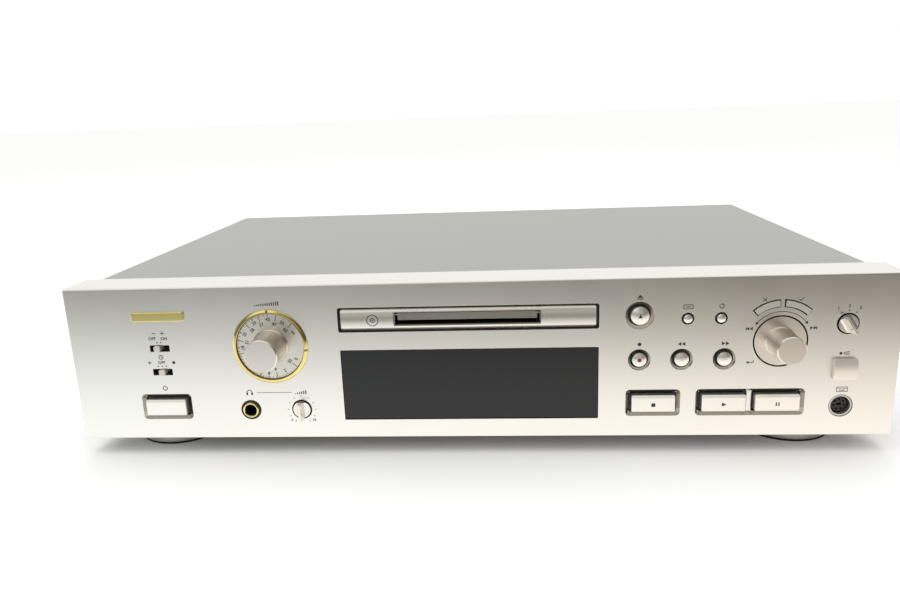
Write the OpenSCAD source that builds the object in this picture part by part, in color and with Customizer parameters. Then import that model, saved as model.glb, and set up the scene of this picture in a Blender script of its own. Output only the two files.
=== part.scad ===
// Minidisc recorder deck of full hi-fi width.
// Axes: X to the right, Y into the cabinet, Z up. Z = 0 is the surface that the feet
// stand on, and X = Y = 0 is the middle of the overall footprint.
// Inside at_face(), Y = 0 is the front face of the fascia and Z = 0 its bottom edge.

/* [Fascia] */
// Width of the fascia
panel_w = 435; // [430:1:445]
// Height of the fascia
panel_h = 86; // [84:1:92]
// Thickness of the fascia's front wall
panel_t = 3; // [2.6:0.1:3.4]
// Depth of the top and side returns
return_d = 25; // [22:1:30]
// Thickness of the returns
return_t = 2.5; // [2:0.25:3]
// Depth of the lip along the bottom
lip_d = 10; // [8:1:12]
// Radius along the top front edge
edge_r = 1; // [0.5:0.25:1.5]

/* [Cabinet] */
// Depth from the fascia's face to the cover's rear edge
body_d = 271; // [262:1:290]
// Step from the fascia's side to the cover's side
cover_inset = 6.5; // [5:0.5:9]
// Step from the fascia's top down to the cover's top
cover_drop = 0.3; // [0:0.1:0.6]
// Thickness of the cover's sheet
cover_t = 1; // [0.8:0.1:1.4]
// Outer radius of the cover's two folds
cover_r = 2.5; // [1.5:0.5:4]
// Height of the lip that the cover folds down over the rear panel
cover_lip = 11; // [9:1:13]
// Thickness of the tray's and the rear panel's sheet
sheet_t = 1.2; // [1:0.1:1.6]
// Height of the tray's side walls
tray_rise = 18; // [16:1:24]
// Gap at the seams between sheet parts
seam = 0.3; // [0.2:0.05:0.4]

/* [Feet] */
// Radius of a foot
foot_r = 24.8; // [20:0.2:26]
// Height of a foot with its rubber pad
foot_h = 10; // [9:0.5:14]
// Height of the rubber pad
pad_h = 1; // [0.8:0.1:2]
// Distance of the feet from the sides
foot_in = 41.2; // [38:0.1:52]
// Distance of the front feet from the face
foot_front = 37; // [36:1:50]
// Distance of the rear feet from the rear edge
foot_back = 38; // [30:1:60]

/* [Display window] */
// Middle of the window and the disc slot
mid_x = -0.5; // [-1:0.1:1]
// Width of the window's opening
window_w = 136.2; // [130:0.1:138]
// Height of the window's opening
window_h = 39.7; // [37:0.1:41]
// Height of the window's middle
window_z = 29.85; // [29:0.05:31]
// Depth of the pane below the face
window_sink = 0.8; // [0.5:0.1:1.2]

/* [Disc slot] */
// Width of the bay in the fascia
bay_w = 136.5; // [130:0.5:138]
// Height of the bay in the fascia
bay_h = 13.5; // [13:0.1:14.5]
// Height of the bay's middle
bay_z = 66.3; // [66:0.1:67]
// Dark gap above and below the slot plate
bay_gap = 1.1; // [0.8:0.1:1.4]
// Dark gap at each end of the slot plate
bay_side = 1.6; // [1:0.1:2]
// How far the slot plate bows forward
plate_bow = 0.8; // [0.5:0.1:1]
// Width of the slot
slot_w = 75.7; // [75.2:0.1:77]
// Height of the slot
slot_h = 6.3; // [6.2:0.1:6.6]
// Width of the bevel round the slot
slot_bevel = 0.9; // [0.6:0.1:1]
// Gap that the flap leaves open at the bottom
flap_gap = 2.1; // [1.8:0.1:2.4]
// Thickness of the flap
flap_t = 0.9; // [0.7:0.1:1]

/* [Disc and its mechanism] */
// Width of the disc's cartridge
disc_w = 72; // [71:0.1:72.4]
// Depth of the disc's cartridge
disc_d = 68; // [66:1:69]
// Thickness of the disc's cartridge
disc_t = 5; // [4.8:0.1:5.1]
// Thickness of the holder's sheet
holder_t = 0.8; // [0.6:0.1:1]
// Distance that the holder lowers the disc
lift = 4; // [3.5:0.1:4.2]
// Thickness of the mechanism's frame
frame_t = 1.5; // [1.2:0.1:1.8]
// Height of the mechanism's base plate
frame_z = 40; // [38:0.5:41]
// Radius of the turntable
table_r = 11; // [10:0.5:12]
// Radius of the guide rods and the lead screw
rail_r = 1.5; // [1.2:0.1:1.8]
// Travel of the pickup sled
sled_travel = 16.5; // [15:0.5:17]

/* [Recording level] */
// Middle of the level knob, across
level_x = -106.3; // [-110:0.1:-104]
// Middle of the level knob, up
level_z = 52.4; // [51:0.1:54]
// Outer radius of the trim ring
ring_r = 20.5; // [19:0.1:21]
// Width of the trim ring's band
ring_band = 2; // [1.5:0.1:2.4]
// How far the trim ring stands out
ring_proud = 1.5; // [1:0.1:2]
// Depth of the slits across the trim ring
ring_slit = 1.1; // [0.8:0.1:1.3]
// Radius of the level knob's front
level_r = 8.9; // [8:0.1:9.5]
// How far the level knob stands out
level_reach = 17.6; // [14:0.1:19]

/* [Jog dial] */
// Middle of the jog dial, up
jog_z = 51.4; // [50.8:0.1:52]
// Radius of the jog dial's hole
jog_hole_r = 13.7; // [12.8:0.1:14.4]
// Gap round the jog dial
jog_gap = 0.8; // [0.5:0.1:1]
// Radius of the jog knob's front
jog_r = 7.2; // [6.6:0.1:8]
// How far the jog knob stands out
jog_reach = 16.8; // [14:0.1:18]
// Inner radius of the two curved keys
arc_r0 = 18.5; // [18:0.1:18.8]
// Outer radius of the two curved keys
arc_r1 = 21.5; // [21.2:0.1:22]

/* [Keys] */
// Width of a large key
key_w = 22.4; // [21.6:0.1:23]
// Height of a large key
key_h = 8.9; // [8.4:0.1:9.6]
// How far a large key stands out
key_proud = 2.2; // [1.8:0.1:2.6]
// Width of the bevel along a large key's top edge
key_bevel = 1.1; // [0.8:0.1:1.4]
// Gap round each large key
key_gap = 1.15; // [0.9:0.05:1.3]
// Gap round each round key
round_gap = 1; // [0.8:0.05:1.2]
// Width of the bevel round the large keys' openings
dish = 1.75; // [1.2:0.05:2]
// Width of the bevel round the eject key's opening
eject_dish = 1.9; // [1.5:0.1:2.1]
// Width of the bevel round the middle keys' openings
middle_dish = 1.3; // [1:0.1:1.5]
// Height of the row of large keys
key_z = 18.5; // [18:0.1:20]
// Travel of each key
key_travel = 1; // [0.6:0.1:1.2]
// Radius of the eject key
eject_r = 4.65; // [4.4:0.05:5]
// Radius of the three middle keys
middle_r = 3.65; // [3.4:0.05:4.2]
// Radius of the two small keys
small_r = 2.2; // [2:0.1:2.6]

/* [Small controls] */
// Distance of the power key and slide switches from the left edge
left_in = 49.8; // [48:0.1:52]
// Distance of the selector and sockets from the right edge
right_in = 26.3; // [25:0.1:27]
// Radius of the two small knobs
knob_r = 4.75; // [4.5:0.05:5]
// How far the small knobs stand out
knob_reach = 6; // [5:0.1:8]
// Thickness of the small knobs' grips
grip_t = 2.2; // [1.8:0.1:2.8]
// Width of the slide switches' windows
switch_w = 11; // [10.4:0.1:12]
// Height of the slide switches' windows
switch_h = 3.7; // [3.4:0.1:4.2]
// Width of the slide switches' levers
lever_w = 3.4; // [3:0.1:3.8]
// Width of the optical socket's cap
cap_w = 11.6; // [11:0.1:12]
// Height of the optical socket's cap
cap_h = 11.4; // [11:0.1:12]
// How far the cap stands out
cap_proud = 2.8; // [2.4:0.1:4]
// Radius of the headphone socket
phones_r = 3.2; // [3.15:0.05:3.3]

/* [Rear panel] */
// How far the phono barrels reach past the cover
jack_reach = 8; // [7:0.5:10]
// Radius of a phono barrel
barrel_r = 4.15; // [4.1:0.05:4.2]
// Side of an optical socket's hole
optic_w = 6.4; // [6.2:0.1:6.8]
// Width across the mains inlet's well
inlet_w = 14.6; // [14.2:0.1:15]
// Height of the mains inlet's well
inlet_h = 7.8; // [7.6:0.1:8.2]

/* [Boards] */
// Distance of the control board behind the face
board_y = 12; // [11.6:0.1:13]
// Thickness of the circuit boards
board_t = 1.6; // [1.2:0.1:2]
// Height of the stand-offs under the flat boards
post_h = 7; // [6:0.5:9]

/* [Hidden] */
$fn = 64;

e = 1;                       // how far a cut runs past what it cuts
slack = 0.05;                // radial clearance of a running fit
flange_t = 1.1;              // stop flange behind the fascia
flange_w = 1.8;              // how far that flange reaches past the key
flange_gap = 0.3;            // gap between the flange and the fascia

// Overall frame
front_reach = max(level_reach, jog_reach);
face_y = front_reach - (front_reach + body_d + jack_reach) / 2;
cover_half = panel_w / 2 - cover_inset;
cover_top = panel_h - cover_drop;
tray_half = cover_half - cover_t - seam;
rear_y = body_d - cover_t;   // outer face of the rear panel
flange_y = panel_t + flange_gap;
left_x = left_in - panel_w / 2;
right_x = panel_w / 2 - right_in;

// Slot and flap
slot_z0 = bay_z - 3.1;
slot_z1 = slot_z0 + slot_h;
plate_w = bay_w - 2 * bay_side;
plate_h = bay_h - 2 * bay_gap;
tunnel_t = 1.2;
tunnel_end = 9;
flap_w = slot_w - 2.7;
flap_y = 2.7;
flap_hinge_z = slot_z1 - 1.1;
flap_pin_r = 0.7;

// Mechanism, seen from its spindle
holder_y = tunnel_end + 1;
holder_z = slot_z0 - holder_t;
chamber_w = disc_w + 0.8;
chamber_d = disc_d + 1.2;
chamber_h = disc_t + 0.6;
holder_half = chamber_w / 2 + holder_t;
holder_top = holder_z + chamber_h + 2 * holder_t;
spindle_y = holder_y + disc_d / 2 + 0.3;
wall_in = holder_half + 0.5;
wall_out = wall_in + frame_t;
plate_z = frame_z + frame_t;
frame_y0 = board_y + board_t + 2.4;
frame_x0 = -46;
frame_x1 = 84;
rail_z = plate_z + 6.5;
rail_gap = 14;               // from the spindle to each guide rod
screw_gap = 21;              // from the spindle to the lead screw
post_x0 = table_r + 1.5;     // inner posts of the rods
post_x1 = post_x0 + 4.5 + 26 + sled_travel + 2.5;
post_w = 2;
pin_r = 1.2;
pin_z = holder_z + holder_t + chamber_h / 2;
pin_ys = [holder_y + 22, holder_y + 60];
cam_t = 1.4;
cam_x1 = -wall_out - 0.4;    // inner face of the cam slider
cam_slope = 2;               // slider travel per millimetre of lift
tooth_m = 0.8;               // gear module
gear_n = 10;
gear_r = tooth_m * gear_n / 2;
pitch_z = plate_z + 10.3;    // pitch line of the cam slider's rack
gear_y = spindle_y + 6;

// Shared controls
shaft_r = 3;
top_key_z = 66.2;
small_key_z = 64.1;
middle_key_z = 42.3;
window_x1 = mid_x + window_w / 2;
group_x = window_x1 + 0.55 * (right_x - window_x1);     // the key group's own middle
eject_x = group_x - 47.4;
small_xs = [group_x - 23.3, group_x - 6.7];
middle_xs = [group_x - 47.2, group_x - 25.7, group_x - 4.2];
stop_x = group_x - 39.7;
pair_x = group_x + 9.8;      // middle of the play and pause keys
jog_x = group_x + 23.2;
pair_web = 2.3;              // between the play and pause keys' openings
pair_step = key_w + 2 * key_gap + pair_web;
arc_gap = 0.6;
arc_play = 1.6;              // gap at the curved keys' ends, in degrees
dial_gap = 0.4;              // between the level dial and the trim ring
edit_arc = [94.3, 130.3];
yes_arc = [49.5, 86];
pitch_row_z = 52.2;
timer_row_z = 38.7;
switch_step = 2.2;           // slide switches' travel from one place to the next
phones_x = -120.5;
phones_z = 16.3;
phones_knob_x = -92.1;
selector_z = 60.2;
selector_turn = -32.5;       // the selector points at its first place
cap_z = 36.3;
keyboard_z = 16.1;
keyboard_r = 6.1;
small_hole_r = knob_r + 0.8;
switch_t = 3;                // height of a push switch
switch_side = 6;
arc_mid = (arc_r0 + arc_r1) / 2;
large_keys = [left_x, stop_x, pair_x - pair_step / 2, pair_x + pair_step / 2];
key_spots = concat(
    [for (x = large_keys) [x, key_z]],
    [[eject_x, top_key_z]],
    [for (x = small_xs) [x, small_key_z]],
    [for (x = middle_xs) [x, middle_key_z]],
    [for (a = [edit_arc, yes_arc])
        [jog_x + arc_mid * cos((a[0] + a[1]) / 2), jog_z + arc_mid * sin((a[0] + a[1]) / 2)]]
);
boss_r = 3;
boss_spots = [
    [-panel_w / 2 + 13.5, panel_h - 11], [-panel_w / 2 + 13.5, 8], [-78, 54.5], [-78, 7],
    [78, 54.5], [78, 7], [panel_w / 2 - 11, panel_h - 11], [panel_w / 2 - 11, 8]
];

// Boards, transformer and rear connectors: [[x0, x1], [y0, y1]] for a board
main_x1 = tray_half - 13.7;
main_w = 156;
main_d = 138;
main_box = [[main_x1 - main_w, main_x1], [rear_y - sheet_t - 5 - main_d, rear_y - sheet_t - 5]];
transformer = [-tray_half + 81.7, rear_y - 48];
power_w = 104;
power_d = 96;
power_box = [[-tray_half + 9.7, -tray_half + 9.7 + power_w],
    [transformer[1] - 26 - power_d, transformer[1] - 26]];
line_xs = [main_x1 - 78, main_x1 - 52];
line_zs = [22, 36];
jack_boss_r = barrel_r + 0.85;
optic_xs = [main_x1 - 130, main_x1 - 112];
optic_z = sheet_t + post_h + board_t + 6;
optic_d = 9;
inlet_x = -tray_half + 31.7;
inlet_z = 26;
inlet_d = 12;
// Chips as [x, y, width, depth, height] and capacitors as [x, y, radius, height], from a board's corner
main_chips = [[30, 30, 24, 24, 2.5], [80, 36, 18, 18, 2.5], [112, 60, 14, 20, 2.5], [60, 80, 30, 9, 3]];
main_cans = [[20, 76, 4, 11], [34, 76, 4, 11], [110, 22, 3.2, 11], [122, 22, 3.2, 11], [134, 22, 3.2, 11]];
power_chips = [[70, 14, 12, 60, 3]];
power_cans = [[22, 24, 9, 32], [44, 24, 9, 32], [22, 50, 6, 20], [44, 52, 6, 20], [28, 76, 5, 14]];
frame_y1 = 109;              // rear edge of the mechanism's base plate
motor_y = 98;                // loading motor
post_r = 4;                  // posts under the mechanism, clear of the tray's front flange
mech_posts = [for (x = [frame_x0 + 5, frame_x1 - 5],
    y = [return_d - 5 + sheet_t + post_r + 1.3, frame_y1 - 5]) [x, y]];
side_screws = [[60, tray_rise / 2 + 1], [body_d - 50, tray_rise / 2 + 1]];
rear_screws = [-tray_half + 59.7, 0, tray_half - 59.7];
foot_x = panel_w / 2 - foot_in;
foot_spots = [for (x = [-foot_x, foot_x], y = [foot_front, body_d - foot_back]) [x, y]];
screw_r = 1.5;
head_r = 3;
head_h = 1.8;

champagne = "#d9d5cb";
sheet_grey = "#a9aaa5";
steel = "#b9bcbe";
gold = "#d3b25c";
black = "#222426";
board_green = "#2f6b46";

// ---------- shared shapes ----------

module at_face() translate([0, face_y, foot_h]) children();
module spot(x, z) translate([x, 0, z]) children();

// A shape drawn as it is seen from the front, between two depths
module slab(y0, y1) translate([0, y1, 0]) rotate([90, 0, 0]) linear_extrude(y1 - y0) children();

// A side profile, drawn as [Y, Z], between two places across
module beam(x0, x1)
    translate([x0, 0, 0]) rotate([90, 0, 90]) linear_extrude(x1 - x0) children();

// A profile drawn as [radius, Y], turned round the Y axis
module turned() rotate([-90, 0, 0]) rotate_extrude() children();

module rod_y(r, y0, y1) translate([0, y0, 0]) rotate([-90, 0, 0]) cylinder(r = r, h = y1 - y0);
module rod_x(r, x0, x1) translate([x0, 0, 0]) rotate([0, 90, 0]) cylinder(r = r, h = x1 - x0);
module block(x, y, z)
    translate([x[0], y[0], z[0]]) cube([x[1] - x[0], y[1] - y[0], z[1] - z[0]]);

module round_rect(w, h, r) {
    square([w - 2 * r, h], center = true);
    square([w, h - 2 * r], center = true);
    for (x = [-1, 1], z = [-1, 1]) translate([x * (w / 2 - r), z * (h / 2 - r)]) circle(r);
}

// A slot with round ends from one point to another
module track(a, b, r) {
    span = norm(b - a);
    translate(a) rotate(atan2(b[1] - a[1], b[0] - a[0])) {
        translate([0, -r]) square([span, 2 * r]);
        circle(r);
        translate([span, 0]) circle(r);
    }
}

// A band of a ring between two radii and two angles
module arc_band(r0, r1, a0, a1) intersection() {
    difference() {
        circle(r1);
        circle(r0);
    }
    polygon(concat([[0, 0]], [for (k = [0:2]) 2 * r1 * [
        cos(a0 + k * (a1 - a0) / 2), sin(a0 + k * (a1 - a0) / 2)]]));
}

// ---------- fascia ----------

// A bevel cut into the face round a rectangular opening, from its outer size w by h
module bevelled(w, h, bevel, r) intersection() {
    translate([0, 0, -h / 2]) linear_extrude(h)
        polygon([[-w / 2 - e, -e], [w / 2 + e, -e], [w / 2 - bevel, bevel], [-w / 2 + bevel, bevel]]);
    beam(-w / 2, w / 2)
        polygon([[-e, -h / 2 - e], [bevel, -h / 2 + bevel], [bevel, h / 2 - bevel], [-e, h / 2 + e]]);
    slab(-e, bevel) round_rect(w, h, r);
}

module key_hole() slab(0, panel_t + e)
    round_rect(key_w + 2 * key_gap, key_h + 2 * key_gap, 0.9);

// The bevel round one large key, or round two that are a step apart
module key_dish(step = 0) bevelled(step + key_w + 2 * key_gap + 2 * dish,
    key_h + 2 * key_gap + 2 * dish, dish, 2.4);

// A round key opening, with a bevel a little wider than it is deep where the key has one
module round_hole(r, bevel) {
    rod_y(r, -e, panel_t + e);
    if (bevel > 0) translate([0, -e, 0]) rotate([-90, 0, 0])
        cylinder(r1 = r + bevel + e, r2 = r, h = 0.8 * bevel + e);
}

module key_openings() {
    for (x = [left_x, stop_x]) spot(x, key_z) key_dish();
    spot(pair_x, key_z) key_dish(pair_step);
    for (x = large_keys) spot(x, key_z) key_hole();
    spot(eject_x, top_key_z) round_hole(eject_r + round_gap, eject_dish);
    for (x = small_xs) spot(x, small_key_z) round_hole(small_r + round_gap, 0);
    for (x = middle_xs) spot(x, middle_key_z) round_hole(middle_r + round_gap, middle_dish);
    for (a = [edit_arc, yes_arc]) spot(jog_x, jog_z) slab(-e, panel_t + e)
        arc_band(arc_r0 - arc_gap, arc_r1 + arc_gap, a[0] - arc_play, a[1] + arc_play);
}

module control_openings() {
    spot(level_x, level_z) {
        rod_y(ring_r - ring_band, -e, panel_t + e);
        rod_y(ring_r + slack, -e, 1.2);
    }
    spot(jog_x, jog_z) rod_y(jog_hole_r, -e, panel_t + e);
    spot(phones_x, phones_z) rod_y(5.5 + slack, -e, panel_t + e);
    spot(phones_knob_x, phones_z) rod_y(small_hole_r, -e, panel_t + e);
    spot(right_x, selector_z) rod_y(small_hole_r, -e, panel_t + e);
    spot(right_x, keyboard_z) rod_y(keyboard_r, -e, panel_t + e);
    spot(right_x, cap_z) slab(-e, panel_t + e) round_rect(cap_w - 1.4, cap_h - 1.9, 0.6);
    for (z = [pitch_row_z, timer_row_z]) spot(left_x, z)
        slab(-e, panel_t + e) round_rect(switch_w, switch_h, 0.5);
}

module panel_shell() difference() {
    beam(-panel_w / 2, panel_w / 2) difference() {
        square([return_d, panel_h]);
        translate([-e, panel_h - edge_r]) square([edge_r + e, edge_r + e]);
    }
    // hollow behind the face, drawn in at the back to meet the cover
    block([return_t - panel_w / 2, panel_w / 2 - return_t], [panel_t, return_d - return_t],
        [return_t, panel_h - return_t]);
    block([-cover_half - seam, cover_half + seam], [panel_t, return_d + e],
        [return_t, panel_h - return_t]);
    block([-cover_half - seam, cover_half + seam], [lip_d, return_d + e], [-e, panel_h / 2]);
}

module front_panel() color(champagne) at_face() difference() {
    union() {
        panel_shell();
        beam(-panel_w / 2, panel_w / 2) intersection() {
            translate([edge_r, panel_h - edge_r]) circle(edge_r);
            translate([0, panel_h - edge_r]) square([edge_r, edge_r]);
        }
        for (s = boss_spots) spot(s[0], s[1]) rod_y(boss_r, panel_t, board_y);
    }
    key_openings();
    control_openings();
    spot(mid_x, window_z) slab(-e, panel_t + e) round_rect(window_w, window_h, 0.6);
    spot(mid_x, bay_z) slab(-e, panel_t + e) round_rect(bay_w, bay_h, 1.2);
    for (s = boss_spots) spot(s[0], s[1]) rod_y(1.1, panel_t + 2, board_y + e);
}

module display_window() color("#2c2e30") at_face() spot(mid_x, window_z) {
    slab(window_sink, panel_t) round_rect(window_w - 0.4, window_h - 0.4, 0.5);
    slab(panel_t, panel_t + 1.2) round_rect(window_w + 5, window_h + 5, 1);
}

module display_tube() color("#3d4a48") at_face() spot(mid_x, window_z) {
    pin_step = 2.5;
    pin_n = floor((window_w / 2 - 7) / pin_step);
    slab(panel_t + 1.8, board_y - 1) round_rect(window_w - 10, window_h - 12, 1.5);
    for (z = [-1, 1]) for (k = [-pin_n:pin_n]) translate([k * pin_step, 0, z * (window_h / 2 - 5.6)])
        block([-0.3, 0.3], [board_y - 2.2, board_y], [-0.8, 0.8]);
}

// ---------- disc slot ----------

module slot_bezel() color(champagne) at_face() translate([mid_x, 0, 0]) difference() {
    plate_r = (pow(plate_h / 2, 2) + pow(plate_bow, 2)) / (2 * plate_bow);
    union() {
        intersection() {
            beam(-plate_w / 2, plate_w / 2) intersection() {
                translate([plate_r, bay_z]) circle(plate_r, $fn = 128);
                translate([0, bay_z - plate_h / 2]) square([panel_t, plate_h]);
            }
            spot(0, bay_z) slab(-e, panel_t + e) round_rect(plate_w, plate_h, 1);
        }
        spot(0, bay_z) slab(panel_t, panel_t + 1.2) round_rect(bay_w + 5, bay_h + 5, 1);
        block([-slot_w / 2 - tunnel_t, slot_w / 2 + tunnel_t], [1.5, tunnel_end],
            [slot_z0 - tunnel_t, slot_z1 + tunnel_t]);
    }
    block([-slot_w / 2, slot_w / 2], [-e, tunnel_end + e], [slot_z0, slot_z1]);
    spot(0, (slot_z0 + slot_z1) / 2)
        bevelled(slot_w + 2 * slot_bevel, slot_h + 2 * slot_bevel, slot_bevel, 0.6);
    spot(0, flap_hinge_z) translate([0, flap_y, 0])
        rod_x(flap_pin_r + slack, -slot_w / 2 - tunnel_t - e, slot_w / 2 + tunnel_t + e);
}

module slot_flap() color(champagne) at_face() translate([mid_x, 0, 0]) {
    tab_r = 0.75;
    difference() {
        block([-flap_w / 2, flap_w / 2], [flap_y - flap_t / 2, flap_y + flap_t / 2],
            [slot_z0 + flap_gap, slot_z1 - 0.3]);
        // shallow upright tab near each end
        for (s = [-1, 1]) slab(0, flap_y - flap_t / 2 + 0.3) track(
            [s * (flap_w / 2 - 3.6), slot_z0 + flap_gap + 0.5 + tab_r],
            [s * (flap_w / 2 - 3.6), slot_z1 + e], tab_r);
    }
    // hinge pins, turned into a short knuckle at each end
    translate([0, flap_y, flap_hinge_z]) for (s = [-1, 1])
        rod_x(flap_pin_r, s > 0 ? flap_w / 2 - e : -slot_w / 2 - tunnel_t + 0.2,
            s > 0 ? slot_w / 2 + tunnel_t - 0.2 : e - flap_w / 2);
}

// ---------- cabinet ----------

module top_cover() color(sheet_grey) at_face() difference() {
    union() {
        slab(return_d + seam, body_d) difference() {
            cover_outline(0);
            cover_outline(cover_t);
        }
        slab(rear_y, body_d) intersection() {
            cover_outline(0);
            translate([-cover_half, cover_top - cover_lip]) square([2 * cover_half, cover_lip]);
        }
    }
    for (s = side_screws) translate([0, s[0], s[1]])
        rod_x(screw_r + 0.2, -cover_half - e, cover_half + e);
    for (x = rear_screws) spot(x, cover_top - cover_lip / 2)
        rod_y(screw_r + 0.2, rear_y - e, body_d + e);
}

// The cover's section, drawn in by t
module cover_outline(t) {
    r = max(cover_r - t, 0.2);
    half = cover_half - t;
    top = cover_top - t;
    translate([-half, -t * e]) square([2 * half, top - r + t * e]);
    translate([-half + r, 0]) square([2 * (half - r), top]);
    for (x = [-1, 1]) translate([x * (half - r), top - r]) circle(r);
}

module chassis_tray() color(steel) at_face() difference() {
    union() {
        block([-tray_half, tray_half], [lip_d + seam, rear_y], [0, sheet_t]);
        for (s = [-1, 1]) scale([s, 1, 1])
            block([tray_half - sheet_t, tray_half], [return_d + seam, rear_y - sheet_t - seam],
                [0, tray_rise]);
        block([-tray_half, tray_half], [return_d - 5, return_d - 5 + sheet_t], [0, tray_rise - 4]);
    }
    for (s = side_screws) translate([0, s[0], s[1]])
        rod_x(screw_r + 0.1, -tray_half - e, tray_half + e);
    for (s = foot_spots) translate([s[0], s[1], -e]) cylinder(r = screw_r + 0.6, h = sheet_t + 2 * e);
    // cooling slots under the transformer
    for (k = [0:7]) translate([transformer[0] + 48, transformer[1] - 42 + k * 9, -e])
        linear_extrude(sheet_t + 2 * e) track([0, 0], [34, 0], 1.6);
}

module rear_panel() color(steel) at_face() difference() {
    slab(rear_y - sheet_t, rear_y) intersection() {
        cover_outline(cover_t + seam);
        translate([-tray_half, sheet_t]) square([2 * tray_half, panel_h]);
    }
    for (x = line_xs, z = line_zs) spot(x, z) rod_y(jack_boss_r + 0.35, rear_y - 3, rear_y + e);
    for (x = optic_xs) spot(x, optic_z) slab(rear_y - 3, rear_y + e) round_rect(9, 9, 0.5);
    spot(inlet_x, inlet_z) slab(rear_y - 3, rear_y + e)
        round_rect(inlet_w + 3.4, inlet_h + 3.4, 3);
    for (x = rear_screws) spot(x, cover_top - cover_lip / 2)
        rod_y(screw_r + 0.1, rear_y - 3, rear_y + e);
}

module feet() color("#c9c8c3") at_face() for (s = foot_spots) translate([s[0], s[1], 0])
    rotate_extrude() difference() {
        polygon([[screw_r + 0.6, 0], [foot_r - 0.8, 0], [foot_r, -0.8], [foot_r, pad_h + 0.9 - foot_h],
            [foot_r - 0.9, pad_h - foot_h], [screw_r + 0.6, pad_h - foot_h]]);
        translate([0, -e - foot_h]) square([7, e + foot_h - 4]);
    }

module foot_pads() color(black) at_face() for (s = foot_spots) translate([s[0], s[1], -foot_h])
    rotate_extrude() translate([14, 0]) square([foot_r - 14.9, pad_h]);

// A pan head screw that points along +Z from its seat at Z = 0
module pan_screw(length, r, head) {
    cylinder(r = r, h = length);
    rotate_extrude() intersection() {
        translate([0, head * 1.35 - head_h]) circle(head * 1.35);
        translate([0, -head_h]) square([head, head_h]);
    }
}

module case_screws() color("#8d8f90") at_face() {
    for (s = side_screws) translate([0, s[0], s[1]]) for (k = [0, 180]) rotate([0, 0, k])
        translate([-cover_half, 0, 0]) rotate([0, 90, 0]) pan_screw(6, screw_r, head_r);
    for (x = rear_screws) translate([x, body_d, cover_top - cover_lip / 2])
        rotate([90, 0, 0]) pan_screw(6, screw_r, head_r);
    for (s = foot_spots) translate([s[0], s[1], -4]) pan_screw(9, screw_r + 0.5, head_r + 1);
}

// ---------- keys ----------

// The flange behind the fascia and the stem towards the key's switch
stem_end = board_y - switch_t - 0.8 - key_travel - 0.2;
module key_stem(r) slab(flange_y + flange_t - 0.01, stem_end) circle(r);

// What a bevel cuts off a key's front edge, drawn as [Y, distance from the key's middle]
module bevel_cut(edge, size) polygon([[-key_proud - e, edge + e], [-key_proud - e, edge - size],
    [-key_proud, edge - size], [-key_proud + size, edge], [-key_proud + size, edge + e]]);

module large_key() {
    difference() {
        slab(-key_proud, flange_y) round_rect(key_w, key_h, 0.7);
        beam(-key_w, key_w) bevel_cut(key_h / 2, key_bevel);
        beam(-key_w, key_w) mirror([0, 1]) bevel_cut(key_h / 2, 0.4);
        for (s = [-1, 1]) scale([s, 1, 1]) translate([0, 0, -key_h]) linear_extrude(2 * key_h)
            mirror([1, -1]) bevel_cut(key_w / 2, 0.4);
    }
    slab(flange_y, flange_y + flange_t)
        round_rect(key_w + 2 * flange_w, key_h + 2 * flange_w, 1);
    key_stem(2.2);
}

// A domed round key
module round_key(r, proud, crown) {
    ball = (r * r + crown * crown) / (2 * crown);
    turned() {
        intersection() {
            translate([0, ball - proud]) circle(ball, $fn = 128);
            translate([0, -proud]) square([r, flange_y + proud]);
        }
        translate([0, flange_y]) square([r + 1.6, flange_t]);
        translate([0, flange_y]) square([min(r, 2), stem_end - flange_y]);
    }
}

module small_key() round_key(small_r, 1.2, 0.6);
module middle_key() round_key(middle_r, 1.1, 0.7);

module arc_key(a) {
    slab(-0.8, flange_y) arc_band(arc_r0, arc_r1, a[0], a[1]);
    slab(flange_y, flange_y + flange_t) arc_band(arc_r0 - arc_gap - 0.6, arc_r1 + arc_gap + 0.6,
        a[0] - arc_play - 1, a[1] + arc_play + 1);
    rotate([0, -(a[0] + a[1]) / 2, 0]) translate([arc_mid, 0, 0]) key_stem(1.4);
}

module power_button() color(champagne) at_face() spot(left_x, key_z) large_key();
module stop_button() color(champagne) at_face() spot(stop_x, key_z) large_key();
module play_button() color(champagne) at_face() spot(pair_x - pair_step / 2, key_z) large_key();
module pause_button() color(champagne) at_face() spot(pair_x + pair_step / 2, key_z) large_key();
module eject_button() color(champagne) at_face()
    spot(eject_x, top_key_z) round_key(eject_r, 2.2, 1.1);
module display_button() color(champagne) at_face()
    spot(small_xs[0], small_key_z) small_key();
module play_mode_button() color(champagne) at_face()
    spot(small_xs[1], small_key_z) small_key();
module record_button() color(champagne) at_face()
    spot(middle_xs[0], middle_key_z) middle_key();
module rewind_button() color(champagne) at_face()
    spot(middle_xs[1], middle_key_z) middle_key();
module forward_button() color(champagne) at_face()
    spot(middle_xs[2], middle_key_z) middle_key();
module edit_button() color(champagne) at_face() spot(jog_x, jog_z) arc_key(edit_arc);
module yes_button() color(champagne) at_face() spot(jog_x, jog_z) arc_key(yes_arc);

// ---------- knobs, dials and slide switches ----------

// Profile of a tall knob with a small cove at its base: [radius, Y]
module knob_profile(r, reach, cove) difference() {
    polygon([[0, -reach], [r - 0.6, -reach], [r, 0.6 - reach], [r, -cove], [r + cove, 0], [0, 0]]);
    translate([r + cove, -cove]) circle(cove);
}

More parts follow.
